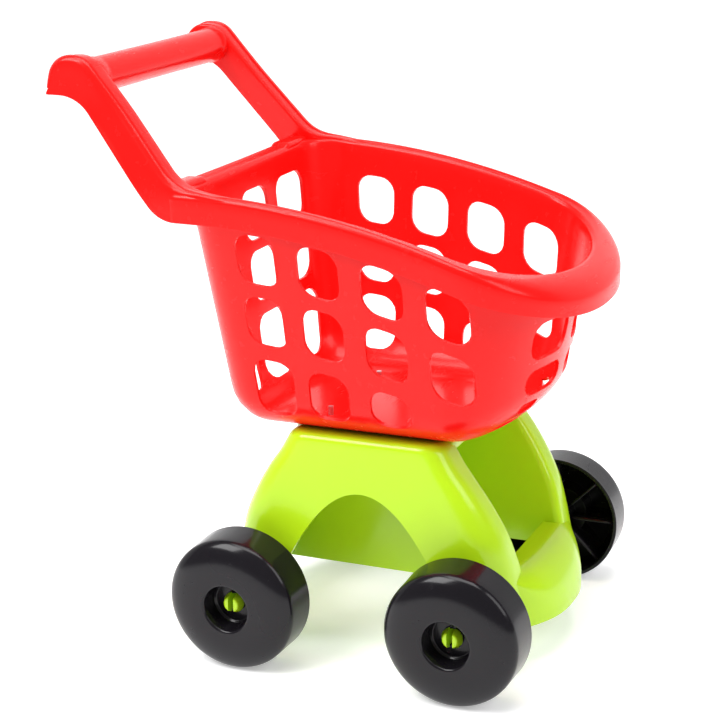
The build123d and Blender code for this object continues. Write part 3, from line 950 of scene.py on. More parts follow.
    def rim_rows(self, column: Column, t: float) -> list[Point]:
        """The points of the wall's top, the flange and the skirt at one place.

        The sheet is the wall's outer face, the flange's underside and the skirt's inside, so
        the wall thickness lies on its other side.

        Args:
            column: the strip of the wall.
            t: the share across the strip.

        Returns:
            The points, from the wall to the skirt's lower edge.
        """
        low_z = self.row_heights(column, t)[-1]
        z = self.top_z
        for _ in range(5):
            z = self.rim_z(self.wall_spot(column, t, z)[0])
        inner = 1.2
        under = z - self.wall - inner
        wall_rows = []
        for share in (0.0, 0.35, 0.7):
            height = blend(low_z, under, share)
            px, py, _ = self.wall_spot(column, t, height)
            wall_rows.append((self.places.mid_x + px, py, height))
        x, y, turned = self.wall_spot(column, t, under)
        rim_x, rim_y = self.rim_spot(column, t, x)
        way = Vector((rim_x - x, rim_y - y))
        reach = way.length - self.wall
        way.normalize()
        nose = smooth_step(turned * 1.35)
        round_out = blend(1.8, reach - inner - 1.0, nose)
        round_down = blend(1.8, 8.0, nose)
        bead = 1.0 - nose
        spots: list[Spot] = []
        for turn in steps(0.0, math.pi / 2, 3):
            spots.append((inner * (1 - math.cos(turn)), self.wall + inner * (1 - math.sin(turn))))
        flat_end = reach - round_out
        step = min(flat_end - 0.3, reach - 2.4)
        spots.append((max(inner + 0.2, step - 0.5), self.wall))
        spots.append((max(inner + 0.4, step), self.wall - 0.5 * bead))
        for turn in steps(0.0, math.pi / 2, 7):
            spots.append((flat_end + round_out * math.sin(turn),
                          self.wall - 0.5 * bead * math.cos(turn)
                          + round_down * (1 - math.cos(turn))))
        for drop in (0.35, 0.7, 1.0):
            spots.append((reach, blend(self.wall + round_down, self.rim_skirt, drop)))
        for out, drop in spots:
            px, py = x + way.x * out, y + way.y * out
            wall_rows.append((self.places.mid_x + px, py, self.rim_z(px) - drop))
        return wall_rows

    def build(self) -> bpy.types.Object:
        """Builds the tub and its rim as one sheet with a wall.

        Returns:
            The tub.
        """
        draft = Draft()
        foot: list[list[Point]] = []
        rim: list[list[Point]] = []
        count = self.cell_steps
        for column in self.columns():
            for low in range(3):
                self.cell(draft, column, low, column.windows[low])
            for i in range(count):
                foot.append(self.foot_rows(column, i / count))
                rim.append(self.rim_rows(column, i / count))
        draft.grid([*foot, foot[0]])
        draft.grid([*rim, rim[0]])
        tub = draft.make("basket_tub", weld=0.02, flip=True)
        thicken(tub, self.wall)
        soften(tub, 0.7, 2, 55.0)
        settle(tub)
        return tub


def cell_border(count: int) -> list[Spot]:
    """The border of a cell in its own shares, anticlockwise from its lower left corner.

    Args:
        count: how many steps each of its edges has.

    Returns:
        The points of the border.
    """
    shares = [i / count for i in range(count)]
    return ([(s, 0.0) for s in shares] + [(1.0, s) for s in shares]
            + [(1.0 - s, 1.0) for s in shares] + [(0.0, 1.0 - s) for s in shares])


def rounded_square(ax: float, ay: float, half_w: float, half_h: float, radius: float) -> Spot:
    """The point of a rounded rectangle that faces a border point of a square.

    Args:
        ax: the border point's x from -1 to 1.
        ay: its y from -1 to 1.
        half_w: half the rectangle's width.
        half_h: half its height.
        radius: its corners' radius.

    Returns:
        The point, from the rectangle's centre.
    """
    x, y = ax * half_w, ay * half_h
    inner_x, inner_y = half_w - radius, half_h - radius
    if abs(x) <= inner_x or abs(y) <= inner_y:
        return x, y
    from_x, from_y = abs(x) - inner_x, abs(y) - inner_y
    if from_x >= radius - 1e-6:
        turn = math.radians(45) * from_y / radius
    else:
        turn = math.radians(90) - math.radians(45) * from_x / radius
    return (math.copysign(inner_x + radius * math.cos(turn), x),
            math.copysign(inner_y + radius * math.sin(turn), y))


# ---------------------------------------------------------------- arms and push bar

@dataclass
class Arms:
    """The two leaning channel arms, the rear shoulders beside them and the push bar.

    Sizes are in millimetres; places along the cart are measured from between the axles.
    """

    places: Places
    tub: Tub
    width: float = 18.5
    toe_width: float = 9.3
    toe_ends: Spot = (-96.0, -124.0)
    proud: float = 0.35
    wall: float = 3.0
    lean: float = math.tan(math.radians(10.0))
    toe_x: float = -80.0
    lean_limit: float = 60.0
    lean_fade: float = 14.0
    lean_ease: float = 9.0
    instep: Spot = (-120.0, 350.0)
    brow: Spot = (-192.0, 436.0)
    hook: Spot = (-222.0, 436.0)
    hook_end_z: float = 413.0
    hook_low: Spot = (-222.0, 408.5)
    chin: Spot = (-197.5, 408.0)
    heel: Spot = (-131.5, 325.3)
    turn_steps: int = 10
    shoulder_start: float = 70.0
    shoulder_rise: float = 4.0
    shoulder_ramp: float = 9.0
    shoulder_sink: float = 1.5
    shoulder_skirt: float = 12.0
    shoulder_edge: float = 3.0
    shoulder_wall: float = 2.4
    bar_x: float = -197.0
    bar_z: float = 419.0
    bar_radius: float = 13.0
    bar_wall: float = 3.0
    bar_seat: float = 2.0
    bar_waist: float = 0.25
    collar_proud: float = 0.7
    collar_step: float = 0.3
    collar_reaches: tuple[float, float, float] = (7.0, 7.6, 8.4)

    def top_line(self) -> list[Spot]:
        """The arm's upper edge from the rim to the end of the hook.

        Returns:
            Points (along the cart, height).
        """
        toe = (self.toe_x, self.tub.rim_z(self.toe_x) - self.proud)
        return rounded_path([toe, self.instep, self.brow, self.hook,
                             (self.hook[0], self.hook_end_z)],
                            [34.0, 20.0, 18.0], [4, 9, 2, 2], self.turn_steps)

    def low_line(self) -> list[Spot]:
        """The arm's lower edge, with as many points as its upper edge.

        Returns:
            Points (along the cart, height).
        """
        toe = (self.toe_x, self.tub.rim_z(self.toe_x) - self.tub.rim_skirt + self.proud)
        return rounded_path([toe, self.heel, self.chin, self.hook_low], [26.0, 30.0],
                            [4, 9, 14], self.turn_steps)

    def outer_y(self, z: float) -> float:
        """How far out the arm's outer face is at a height.

        Args:
            z: the height.

        Returns:
            The distance from the middle plane.
        """
        over, soft = z - self.tub.rim_rear_z, self.lean_ease
        bent = over if over > soft else (over + soft) ** 2 / (4 * soft) if over > -soft else 0.0
        knee = self.lean_limit - self.lean_fade
        if bent > knee:
            bent = self.lean_limit - self.lean_fade * math.exp((knee - bent) / self.lean_fade)
        return self.tub.rim_half - self.lean * bent

    def section(self, top: Spot, normal: Spot, low: Spot, side: int) -> list[Point]:
        """The points across the channel at one station, from one lower edge to the other.

        Args:
            top: the station's point on the upper edge.
            normal: the way from there into the arm.
            low: the station's point on the lower edge.
            side: RIGHT or LEFT.

        Returns:
            The points of the channel's outer skin.
        """
        depth = math.dist(top, low)
        scale = min(1.0, depth / 13.0)
        start, end = self.toe_ends
        grown = smooth_step((start - top[0]) / (start - end))
        width = blend(self.toe_width, self.width, grown)
        proud = blend(-self.proud, self.proud, smooth_step((self.toe_x - top[0]) / 16.0))
        shoulder, lip = blend(2.0, 5.0, grown) * scale, blend(1.2, 2.2, grown) * scale
        groove = blend(0.3, 1.0, grown) * scale
        spots: list[tuple[float, float, float]] = []
        for share in (1.0, 0.75, 0.5, 0.25):
            spots.append((0.0, blend(shoulder, depth, share), share))
        for turn in steps(0.0, math.pi / 2, 6):
            spots.append((shoulder * (1 - math.cos(turn)), shoulder * (1 - math.sin(turn)), 0.0))
        spots += [(shoulder + 1.5, 0.0, 0.0), (shoulder + 2.2, groove, 0.0),
                  (blend(shoulder + 2.2, width - lip, 0.5), groove, 0.0)]
        for turn in steps(0.0, math.pi / 2, 4):
            spots.append((width - lip * (1 - math.sin(turn)),
                          groove + lip * (1 - math.cos(turn)), 0.0))
        for share in (0.25, 0.5, 0.75, 1.0):
            spots.append((width, blend(groove + lip, depth, share), share))
        points = []
        for across, down, share in spots:
            near = (top[0] + normal[0] * down, top[1] + normal[1] * down)
            far = (blend(top[0], low[0], down / depth), blend(top[1], low[1], down / depth))
            x = blend(near[0], far[0], min(1.0, share * 2))
            z = blend(near[1], far[1], min(1.0, share * 2))
            points.append((self.places.mid_x + x, side * (self.outer_y(z) + proud - across), z))
        return points

    def arm(self, side: int, name: str) -> bpy.types.Object:
        """Builds one arm.

        Args:
            side: RIGHT or LEFT.
            name: the piece's name.

        Returns:
            The arm.
        """
        top, low = self.top_line(), self.low_line()
        rows = []
        for number, (spot, under) in enumerate(zip(top, low)):
            before = Vector(top[max(0, number - 1)])
            after = Vector(top[min(len(top) - 1, number + 1)])
            along = (after - before).normalized()
            rows.append(self.section(spot, (-along.y, along.x), under, side))
        draft = Draft()
        draft.grid(rows)
        piece = draft.make(name)
        turn_outwards(piece, (self.places.mid_x - 150.0, 0.0, 380.0), side)
        thicken(piece, self.wall)
        soften(piece, 0.8, 2, 55.0)
        settle(piece)
        return piece

    def shoulder(self, side: int, name: str) -> bpy.types.Object:
        """Builds the raised corner of the rear wall between its top and an arm.

        Args:
            side: RIGHT or LEFT.
            name: the piece's name.

        Returns:
            The corner piece.
        """
        base_z = self.tub.rim_rear_z
        wall_x, lip_x = -self.tub.top_rear + self.tub.wall, -self.tub.rim_rear + 0.4
        low_z, edge, ramp = base_z - self.shoulder_skirt, self.shoulder_edge, self.shoulder_ramp
        rows = []
        for y in (*steps(self.shoulder_start - ramp, self.shoulder_start, 6),
                  *steps(self.shoulder_start + 5.0, self.shoulder_start + 30.0, 5)):
            rise = self.shoulder_rise * smooth_step((y - self.shoulder_start + ramp) / ramp)
            top = base_z - self.shoulder_sink + rise
            profile = rounded_path([(wall_x, low_z), (wall_x, top), (lip_x, top),
                                    (lip_x, low_z)], [edge, edge], [1, 1, 1], 4)
            rows.append([(self.places.mid_x + x, side * y, z) for x, z in profile])
        draft = Draft()
        draft.grid(rows)
        piece = draft.make(name)
        turn_outwards(piece, (self.places.mid_x - 130.0, 80.0 * side, 330.0), 0)
        thicken(piece, self.shoulder_wall)
        soften(piece, 0.7, 2, 50.0)
        settle(piece)
        return piece

    def bar(self) -> bpy.types.Object:
        """Builds the push bar with a shallow collar near each end.

        Returns:
            The push bar.
        """
        half = self.outer_y(self.bar_z) - self.width + self.bar_seat
        radius, collar = self.bar_radius, self.bar_radius + self.collar_proud
        collar_end, step_end, plain_end = (half - reach for reach in self.collar_reaches)
        right: list[Spot] = [(radius - self.bar_wall, -half), (collar, -half),
                             (collar, -collar_end), (radius + self.collar_step, -step_end),
                             (radius, -plain_end)]
        waist = [(radius - self.bar_waist * math.sin(math.pi * share),
                  blend(-plain_end, plain_end, share)) for share in steps(0.02, 0.98, 24)]
        outline = right + waist + [(reach, -out) for reach, out in reversed(right)]
        centre = (self.places.mid_x + self.bar_x, 0.0, self.bar_z)
        piece = lathe(outline, centre, LEFT, 72).make("push_bar")
        soften(piece, 0.3, 2, 40.0)
        settle(piece)
        return piece


def turn_outwards(piece: bpy.types.Object, inside: Point, side: int) -> None:
    """Turns a sheet's faces so that most of them look away from a place inside it.

    Args:
        piece: the sheet.
        inside: a place behind the sheet, in millimetres.
        side: RIGHT or LEFT for a sheet that stands off to one side, or 0.
    """
    mesh = piece.data
    heart = Vector(inside) * MM
    if side:
        low = min(vertex.co.y * side for vertex in mesh.vertices)
        high = max(vertex.co.y * side for vertex in mesh.vertices)
        heart.y = side * (low + high) / 2
    votes = sum(face.area * face.normal.dot((face.center - heart).normalized())
                for face in mesh.polygons)
    if votes < 0:
        mesh.flip_normals()


# ---------------------------------------------------------------- base

@dataclass
class Base:
    """The lime base: two bell-shaped hollow legs, the deck, two aprons and four axle bosses."""

    places: Places
    wall: float = 3.0
    low_z: float = 31.5
    top_z: float = 169.0
    shoulder: float = 5.0
    bell: tuple[Spot, ...] = ((29.0, 114.5), (45.0, 113.0), (67.0, 108.5), (78.0, 106.0),
                              (100.0, 99.5), (121.0, 89.0), (138.5, 78.0), (152.0, 68.0),
                              (169.0, 58.0))
    foot_half: float = 92.0
    deck_half: float = 84.0
    corner_low: float = 35.0
    corner_high: float = 15.0
    arch_top: float = 129.0
    arch_span: float = 59.0
    inner: tuple[Spot, ...] = ((29.0, 37.0), (55.0, 41.0), (110.0, 50.0), (169.0, 57.0))
    inner_low: float = 55.0
    inner_edge: float = 6.0
    apron_low: float = 31.0
    apron_high: float = 72.0
    apron_reach: Spot = (112.0, 20.0)
    apron_width: float = 58.0
    apron_half: float = 62.5
    apron_bow: float = 2.5
    apron_roll: float = 12.0
    apron_swell: Spot = (15.0, 25.0)
    apron_flange: float = 93.0
    apron_wall: float = 2.6
    deck_gap: float = 0.1
    deck_skirt: float = 9.0
    deck_reach: float = 60.0
    boss_radius: float = 13.0
    boss_start: float = 80.0
    boss_end: float = 101.7
    boss_bore: float = 6.5
    boss_taper: float = 0.3
    axle_x: float = 84.0

    def half_length(self, z: float) -> float:
        """Half the base's length at a height, along a smooth bell."""
        return along_knots(self.bell, z)

    def half_width(self, z: float) -> float:
        """Half the base's width at a height."""
        share = (z - self.low_z) / (self.top_z - self.low_z)
        return blend(self.foot_half, self.deck_half, share)

    def corner(self, z: float) -> float:
        """The radius of the upright corners at a height."""
        share = (z - self.low_z) / (self.top_z - self.low_z)
        return blend(self.corner_low, self.corner_high, smooth_step(share))

    def inner_y(self, z: float) -> float:
        """How far out a leg's inner face is at a height."""
        return along_knots(self.inner, z)

    def edge_radius(self, z: float) -> float:
        """The radius of a leg's inner upright edges, which fades out under the deck."""
        return self.inner_edge * min(1.0, max(0.05, (self.top_z - self.shoulder - z) / 25.0))

    def spot(self, across: float, outwards: float, z: float, end: int, side: int) -> Point:
        """Turns a place on a leg into CAD coordinates.

        Args:
            across: the distance along the cart from between the axles.
            outwards: the distance from the middle plane.
            z: the height.
            end: 1 for the front half, -1 for the rear half.
            side: RIGHT or LEFT.

        Returns:
            The point, in millimetres.
        """
        return (self.places.mid_x + end * across, side * outwards, z)

    def rows(self) -> list[Spot]:
        """Each row's (set back, height), up the leg and over its rounded shoulder.

        Returns:
            The rows, from the foot upwards.
        """
        foot = self.top_z - self.shoulder
        straight = [(0.0, z) for z in steps(self.low_z, foot, 44)]
        return straight + [(self.shoulder * (1 - math.cos(turn)),
                            foot + self.shoulder * math.sin(turn))
                           for turn in steps(0.0, math.pi / 2, 6)[1:]]

    def corner_row(self, back: float, z: float, end: int, side: int) -> list[Point]:
        """One row round the corner, across the leg's end face and round its inner edge.

        Args:
            back: how far the row is set back from the faces.
            z: the height.
            end: 1 for the front, -1 for the rear.
            side: RIGHT or LEFT.

        Returns:
            The points of the row.
        """
        length, width = self.half_length(z) - back, self.half_width(z) - back
        radius, inside, edge = self.corner(z) - back, self.inner_y(z), self.edge_radius(z)
        around = [self.spot(length - radius * (1 - math.sin(turn)),
                            width - radius * (1 - math.cos(turn)), z, end, side)
                  for turn in steps(0.0, math.pi / 2, 12)]
        across = [self.spot(length, blend(width - radius, inside + edge, share), z, end, side)
                  for share in steps(0.0, 1.0, 4)[1:]]
        inner = [self.spot(length - edge * (1 - math.cos(turn)),
                           inside + edge * (1 - math.sin(turn)), z, end, side)
                 for turn in steps(0.0, math.pi / 2, 5)[1:]]
        return around + across + inner

    def side_patch(self, end: int, side: int) -> list[list[Point]]:
        """The rows of the outer side between the arch and the corner and shoulder.

        Args:
            end: 1 for the front, -1 for the rear.
            side: RIGHT or LEFT.

        Returns:
            The rows, from the arch outwards.
        """
        levels = [z for back, z in self.rows() if not back]
        top = levels[-1]
        border = [(self.half_length(z) - self.corner(z), z) for z in levels]
        border += [(border[-1][0] * share, top) for share in steps(1.0, 0.0, 10)[1:]]
        depth = self.arch_top - self.low_z
        foot = math.sqrt(self.arch_span * depth)
        arch = [(foot * share, self.arch_top - depth * share * share)
                for share in steps(1.0, 0.0, len(border) - 1)]
        rows = []
        for share in steps(0.0, 1.0, 9):
            eased = share ** 1.25
            row = [(blend(a[0], b[0], eased), blend(a[1], b[1], eased))
                   for a, b in zip(arch, border)]
            rows.append([self.spot(x, self.half_width(z), z, end, side) for x, z in row])
        return rows

    def leg(self, side: int, name: str) -> bpy.types.Object:
        """Builds one hollow leg with its arch, its corners and its inner wall.

        Args:
            side: RIGHT or LEFT.
            name: the piece's name.

        Returns:
            The leg.
        """
        draft = Draft()
        rows = self.rows()
        for end in (1, -1):
            draft.grid(self.side_patch(end, side))
            draft.grid([self.corner_row(back, z, end, side) for back, z in rows])
            draft.grid([[self.spot(blend(self.half_length(z) - back - self.edge_radius(z), 0.0,
                                         share), self.inner_y(z), z, end, side)
                         for share in steps(0.0, 1.0, 12)]
                        for back, z in rows if z > self.inner_low - 2.0])
            draft.grid([[self.spot((self.half_length(z) - self.corner(z)) * share,
                                   self.half_width(z) - back, z, end, side)
                         for share in steps(1.0, 0.0, 10)]
                        for back, z in rows if z > self.top_z - self.shoulder - 0.01])
            back, z = rows[-1]
            reach = self.half_length(z) - self.corner(z)
            outer = [self.spot(reach * share, self.half_width(z) - back, z, end, side)
                     for share in steps(0.0, 1.0, 10)]
            outer += self.corner_row(back, z, end, side)[1:13]
            inner = [self.spot((self.half_length(z) - back - self.edge_radius(z)) * share,
                               self.inner_y(z), z, end, side)
                     for share in steps(0.0, 1.0, len(outer) - 1)]
            draft.grid([[(blend(a[0], b[0], share), blend(a[1], b[1], share), z)
                         for a, b in zip(outer, inner)] for share in steps(0.0, 1.0, 8)])
        piece = draft.make(name, weld=0.03)
        turn_outwards(piece, (self.places.mid_x, side * 62.0, 90.0), 0)
        thicken(piece, self.wall)
        soften(piece, 0.8, 2, 42.0)
        settle(piece)
        return piece

    def deck(self) -> bpy.types.Object:
        """Builds the deck between the legs, with its rolled front and rear edges.

        Returns:
            The deck.
        """
        top = self.top_z - self.deck_gap
        profile = []
        for end in (1, -1):
            half = self.half_length(self.top_z - self.shoulder) - self.deck_gap
            side = [(half, top - self.deck_skirt), (half, top - self.shoulder)]
            side += [(half - self.shoulder * (1 - math.cos(turn)),
                      top - self.shoulder * (1 - math.sin(turn)))
                     for turn in steps(0.0, math.pi / 2, 6)[1:]]
            side += [(half * share, top) for share in (0.7, 0.4)]
            profile += side if end == 1 else [(-x, z) for x, z in reversed(side)]
        rows = [[(self.places.mid_x + x, y, z) for x, z in profile]
                for y in steps(-self.deck_reach, self.deck_reach, 20)]
        draft = Draft()
        draft.grid(rows)
        piece = draft.make("base_deck")
        turn_outwards(piece, (self.places.mid_x, 0.0, 150.0), 0)
        thicken(piece, self.wall)
        soften(piece, 0.6, 2, 42.0)
        settle(piece)
        return piece

    def apron(self, end: int, name: str) -> bpy.types.Object:
        """Builds one bowed apron with its rolled upper edge.

        Args:
            end: 1 for the front, -1 for the rear.
            name: the piece's name.

        Returns:
            The apron.
        """
        draft = Draft()
        rows = []
        roll, flange = self.apron_roll, self.apron_flange
        for y in steps(-self.apron_half, self.apron_half, 36):
            bow = 1 - (abs(y) / self.apron_width) ** self.apron_bow
            reach = self.apron_reach[0] + self.apron_reach[1] * bow
            deep, tall = roll + self.apron_swell[0] * bow, roll + self.apron_swell[1] * bow
            foot = self.apron_high - tall
            section = [(reach, z) for z in steps(self.apron_low, foot, 6)]
            section += [(reach - deep * (1 - math.cos(turn)), foot + tall * math.sin(turn))
                        for turn in steps(0.0, math.pi / 2, 14)[1:]]
            section += [(blend(reach - deep, flange, share), self.apron_high)
                        for share in (0.15, 1.0)]
            rows.append([(self.places.mid_x + end * x, y, z) for x, z in section])
        draft.grid(rows)
        piece = draft.make(name)
        turn_outwards(piece, (self.places.mid_x + end * 80.0, 0.0, 45.0), 0)
        thicken(piece, self.apron_wall)
        soften(piece, 0.7, 2, 42.0)
        settle(piece)
        return piece

    def boss(self, end: int, side: int, name: str) -> bpy.types.Object:
        """Builds one round boss that carries an axle pin.

        Args:
            end: 1 for the front, -1 for the rear.
            side: RIGHT or LEFT.
            name: the piece's name.

        Returns:
            The boss.
        """
        radius, length = self.boss_radius, self.boss_end - self.boss_start
        outline = [(self.boss_bore, 0.0), (radius + self.boss_taper, 0.0), (radius, length),
                   (self.boss_bore, length)]
        centre = (self.places.mid_x + end * self.axle_x, side * self.boss_start,
                  self.places.axle_z)
        piece = lathe(outline, centre, side, 72).make(name)
        soften(piece, 0.8, 3, 42.0)
        settle(piece)
        return piece


def along_knots(knots: tuple[Spot, ...], place: float) -> float:
    """Reads a smooth curve through knots, a Hermite curve with averaged slopes.

    Args:
        knots: (place, value) pairs in rising order.
        place: where to read.

    Returns:
        The value there.
    """
    last = len(knots) - 1
    slopes = [(knots[min(i + 1, last)][1] - knots[max(i - 1, 0)][1])
              / (knots[min(i + 1, last)][0] - knots[max(i - 1, 0)][0])
              for i in range(last + 1)]
    place = min(max(place, knots[0][0]), knots[last][0])
    number = max(i for i in range(last) if knots[i][0] <= place)
    (start, low), (end, high) = knots[number], knots[number + 1]
    span = end - start
    t = (place - start) / span
    return ((2 * t ** 3 - 3 * t ** 2 + 1) * low + (t ** 3 - 2 * t ** 2 + t) * span * slopes[number]
            + (3 * t ** 2 - 2 * t ** 3) * high + (t ** 3 - t ** 2) * span * slopes[number + 1])


# ---------------------------------------------------------------- wheels and pins

@dataclass
class Wheel:
    """A hollow black wheel with a dished hub, a hub tube and ribs inside its open back."""

    places: Places
    wall: float = 3.0
    edge_radial: float = 25.0
    edge_axial: float = 11.5
    draft_in: float = 0.8
    recess: float = 17.0
    recess_depth: float = 16.0
    recess_lip: float = 2.2
    tube: float = 11.0
    bore: float = 6.08
    tube_set_back: float = 1.0
    rib_count: int = 8
    rib_thickness: float = 1.6
    rib_set_back: float = 6.0

    def outline(self) -> list[Spot]:
        """The closed (radius, distance outwards) outline of the turned wheel.

        Returns:
            The points of the outline.
        """
        width = self.places.wheel_out - self.places.wheel_in
        radius = self.places.wheel_radius
        edge = width - self.edge_axial
        face = radius - self.draft_in - self.edge_radial
        floor, lip = width - self.recess_depth, self.recess_lip
        tread = radius - self.draft_in
        spots: list[Spot] = [(radius - 0.05, 0.6), (radius - 0.3, 5.0), (tread + 0.2, edge - 4.0)]
        spots += [(face + self.edge_radial * math.cos(turn),
                   edge + self.edge_axial * math.sin(turn))
                  for turn in steps(0.0, math.pi / 2, 20)]
        spots.append((blend(face, self.recess + lip, 0.5), width))
        spots += [(self.recess + lip * (1 - math.sin(turn)), width - lip * (1 - math.cos(turn)))
                  for turn in steps(0.0, math.pi / 2, 6)]
        spots += [(self.recess - 0.3, blend(width, floor, 0.5)), (self.recess - 0.5, floor + 1.5),
                  (self.recess - 2.0, floor), (self.tube, floor), (self.bore, floor),
                  (self.bore, self.tube_set_back), (self.tube, self.tube_set_back),
                  (self.tube, floor - self.wall), (self.recess + self.wall, floor - self.wall),
                  (self.recess + self.wall, width - self.wall)]
        spots += [(face + (self.edge_radial - self.wall) * math.cos(turn),
                   edge + (self.edge_axial - self.wall) * math.sin(turn))
                  for turn in steps(math.pi / 2, 0.0, 10)]
        spots += [(radius - self.wall, 0.6), (radius - self.wall + 0.6, 0.0), (radius - 0.6, 0.0)]
        return spots

    def rib(self, centre: Point, side: int, turn: float) -> Draft:
        """The thin radial rib at one angle inside the wheel's open back.

        Args:
            centre: the place on the axle that distances start from.
            side: RIGHT or LEFT.
            turn: the rib's angle.

        Returns:
            The draft of the rib.
        """
        width = self.places.wheel_out - self.places.wheel_in
        radius = self.places.wheel_radius
        edge, face = width - self.edge_axial, radius - self.draft_in - self.edge_radial
        inset = self.wall / 2
        far = [(radius - self.draft_in - inset, out)
               for out in steps(self.rib_set_back, edge, 3)]
        far += [(face + (self.edge_radial - inset) * math.cos(bend),
                 edge + (self.edge_axial - inset) * math.sin(bend))
                for bend in steps(0.0, math.pi / 2, 8)[1:]]
        corner_out = width - self.recess_depth - inset
        near = [(self.tube - inset, blend(self.rib_set_back, corner_out, share))
                for share in steps(0.0, 1.0, 3)]
        near += [(self.recess + inset, blend(corner_out, width - inset, share))
                 for share in steps(0.0, 1.0, len(far) - len(near) - 1)]
        half = self.rib_thickness / 2
        draft = Draft()
        cos, sin = math.cos(turn), math.sin(turn)

        def place(spot: Spot, aside: float) -> Point:
            """Turns a place on the rib into CAD coordinates."""
            return (centre[0] + spot[0] * cos - aside * sin, centre[1] + side * spot[1],
                    centre[2] + spot[0] * sin + aside * cos)

        faces = []
        for aside in (-half, half):
            rows = [[place((blend(a[0], b[0], share), blend(a[1], b[1], share)), aside)
                     for share in steps(0.0, 1.0, 4)] for a, b in zip(near, far)]
            faces.append(rows)
            draft.grid(rows)
        for edge_rows in ([rows[0] for rows in faces], [rows[-1] for rows in faces],
                          [[row[0] for row in rows] for rows in faces],
                          [[row[-1] for row in rows] for rows in faces]):
            draft.grid(edge_rows)
        return draft

    def build(self, end: int, side: int, name: str) -> bpy.types.Object:
        """Builds one wheel with its ribs as a single piece.

        Args:
            end: 1 for the front, -1 for the rear.
            side: RIGHT or LEFT.
            name: the piece's name.

        Returns:
            The wheel.
        """
        centre = (self.places.mid_x + end * Base.axle_x, side * self.places.wheel_in,
                  self.places.axle_z)
        shell = lathe(self.outline(), centre, side, 128).make(name)
        soften(shell, 0.5, 2, 40.0)
        settle(shell)
        ribs = [self.rib(centre, side, math.tau * number / self.rib_count).make(f"{name}_rib",
                                                                                weld=0.01)
                for number in range(self.rib_count)]
        join_into(shell, ribs)
        return shell


@dataclass
class Pin:
    """A lime pin with a flange and a split head with a rounded nose."""

    places: Places
    radius: float = 6.0
    flange: float = 10.0
    flange_start: float = 101.7
    flange_end: float = 104.2
    root: float = 86.0
    neck: float = 124.8
    head: float = 7.8
    head_end: float = 131.8
    slot: float = 2.1
    slot_start: float = 112.0
    flange_bevel: float = 0.4
    head_bevel: float = 0.5
    head_land: float = 2.0
    nose: float = 1.6

    def outline(self) -> list[Spot]:
        """Half of the pin's lengthwise section, as (radius, distance from the middle).

        Returns:
            The points of the section.
        """
        nose, bevel, barb = self.nose, self.flange_bevel, self.head_bevel
        bend = [(self.radius - nose + nose * math.cos(turn),
                 self.head_end - nose + nose * math.sin(turn))
                for turn in steps(0.0, math.pi / 2, 5)]
        return [(self.radius, self.root), (self.radius, self.flange_start),
                (self.flange - bevel, self.flange_start), (self.flange, self.flange_start + bevel),
                (self.flange, self.flange_end - bevel), (self.flange - bevel, self.flange_end),
                (self.radius, self.flange_end), (self.radius, self.slot_start),
                (self.radius, self.neck), (self.head - barb, self.neck),
                (self.head, self.neck + barb), (self.head, self.neck + self.head_land),
                *bend]

    def half(self, centre: Point, side: int, hand: int) -> Draft:
        """One prong of the pin with the half of its root that it grows from.

        Args:
            centre: the place on the axle that distances start from.
            side: RIGHT or LEFT.
            hand: 1 or -1, the side of the split that it is on.

        Returns:
            The draft of the prong.
        """
        draft = Draft()
        outline = self.outline()
        rounds, flats = [], []
        for radius, out in outline:
            gap = self.slot if out > self.slot_start else 0.0
            start = math.asin(min(1.0, gap / radius))
            rounds.append([(centre[0] + hand * radius * math.sin(turn), side * out,
                            centre[2] + radius * math.cos(turn))
                           for turn in steps(start, math.pi - start, 24)])
            rise = math.sqrt(max(0.0, radius * radius - gap * gap))
            flats.append([(centre[0] + hand * gap, side * out, centre[2] + rise * share)
                          for share in steps(1.0, -1.0, 6)])
        draft.grid(rounds)
        draft.grid(flats)
        tip = rounds[-1]
        base = flats[-1]
        draft.grid([tip, [(centre[0] + hand * self.slot, side * self.head_end,
                           blend(base[0][2], base[-1][2], share))
                          for share in steps(0.0, 1.0, len(tip) - 1)]])
        return draft

    def build(self, end: int, side: int, name: str) -> bpy.types.Object:
        """Builds one split pin.

        Args:
            end: 1 for the front, -1 for the rear.
            side: RIGHT or LEFT.
            name: the piece's name.

        Returns:
            The pin.
        """
        centre = (self.places.mid_x + end * Base.axle_x, 0.0, self.places.axle_z)
        prongs = [self.half(centre, side, hand).make(f"{name}_prong", weld=0.01)
                  for hand in (-1, 1)]
        first = prongs[0]
        first.name = name
        join_into(first, prongs[1:])
        soften(first, 0.3, 2, 50.0)
        settle(first)
        return first


def join_into(piece: bpy.types.Object, others: list[bpy.types.Object]) -> None:
    """Adds the meshes of some objects to a piece and removes those objects.

    Args:
        piece: the piece that grows.
        others: the objects that it takes in.
    """
    mesh = bmesh.new()
    mesh.from_mesh(piece.data)
    for other in others:
        mesh.from_mesh(other.data)
    mesh.to_mesh(piece.data)
    mesh.free()
    for other in others:
        bpy.data.objects.remove(other, do_unlink=True)


# ---------------------------------------------------------------- floor, lights, camera

def direction(azimuth: float, elevation: float) -> Vector:
    """The way from the cart towards a viewer or a lamp.

    Args:
        azimuth: degrees round from the cart's right side towards its front.
        elevation: degrees above the floor.

    Returns:
        The unit vector.
    """
    turn, rise = math.radians(azimuth), math.radians(elevation)
    return Vector((math.sin(turn) * math.cos(rise), -math.cos(turn) * math.cos(rise),
                   math.sin(rise)))


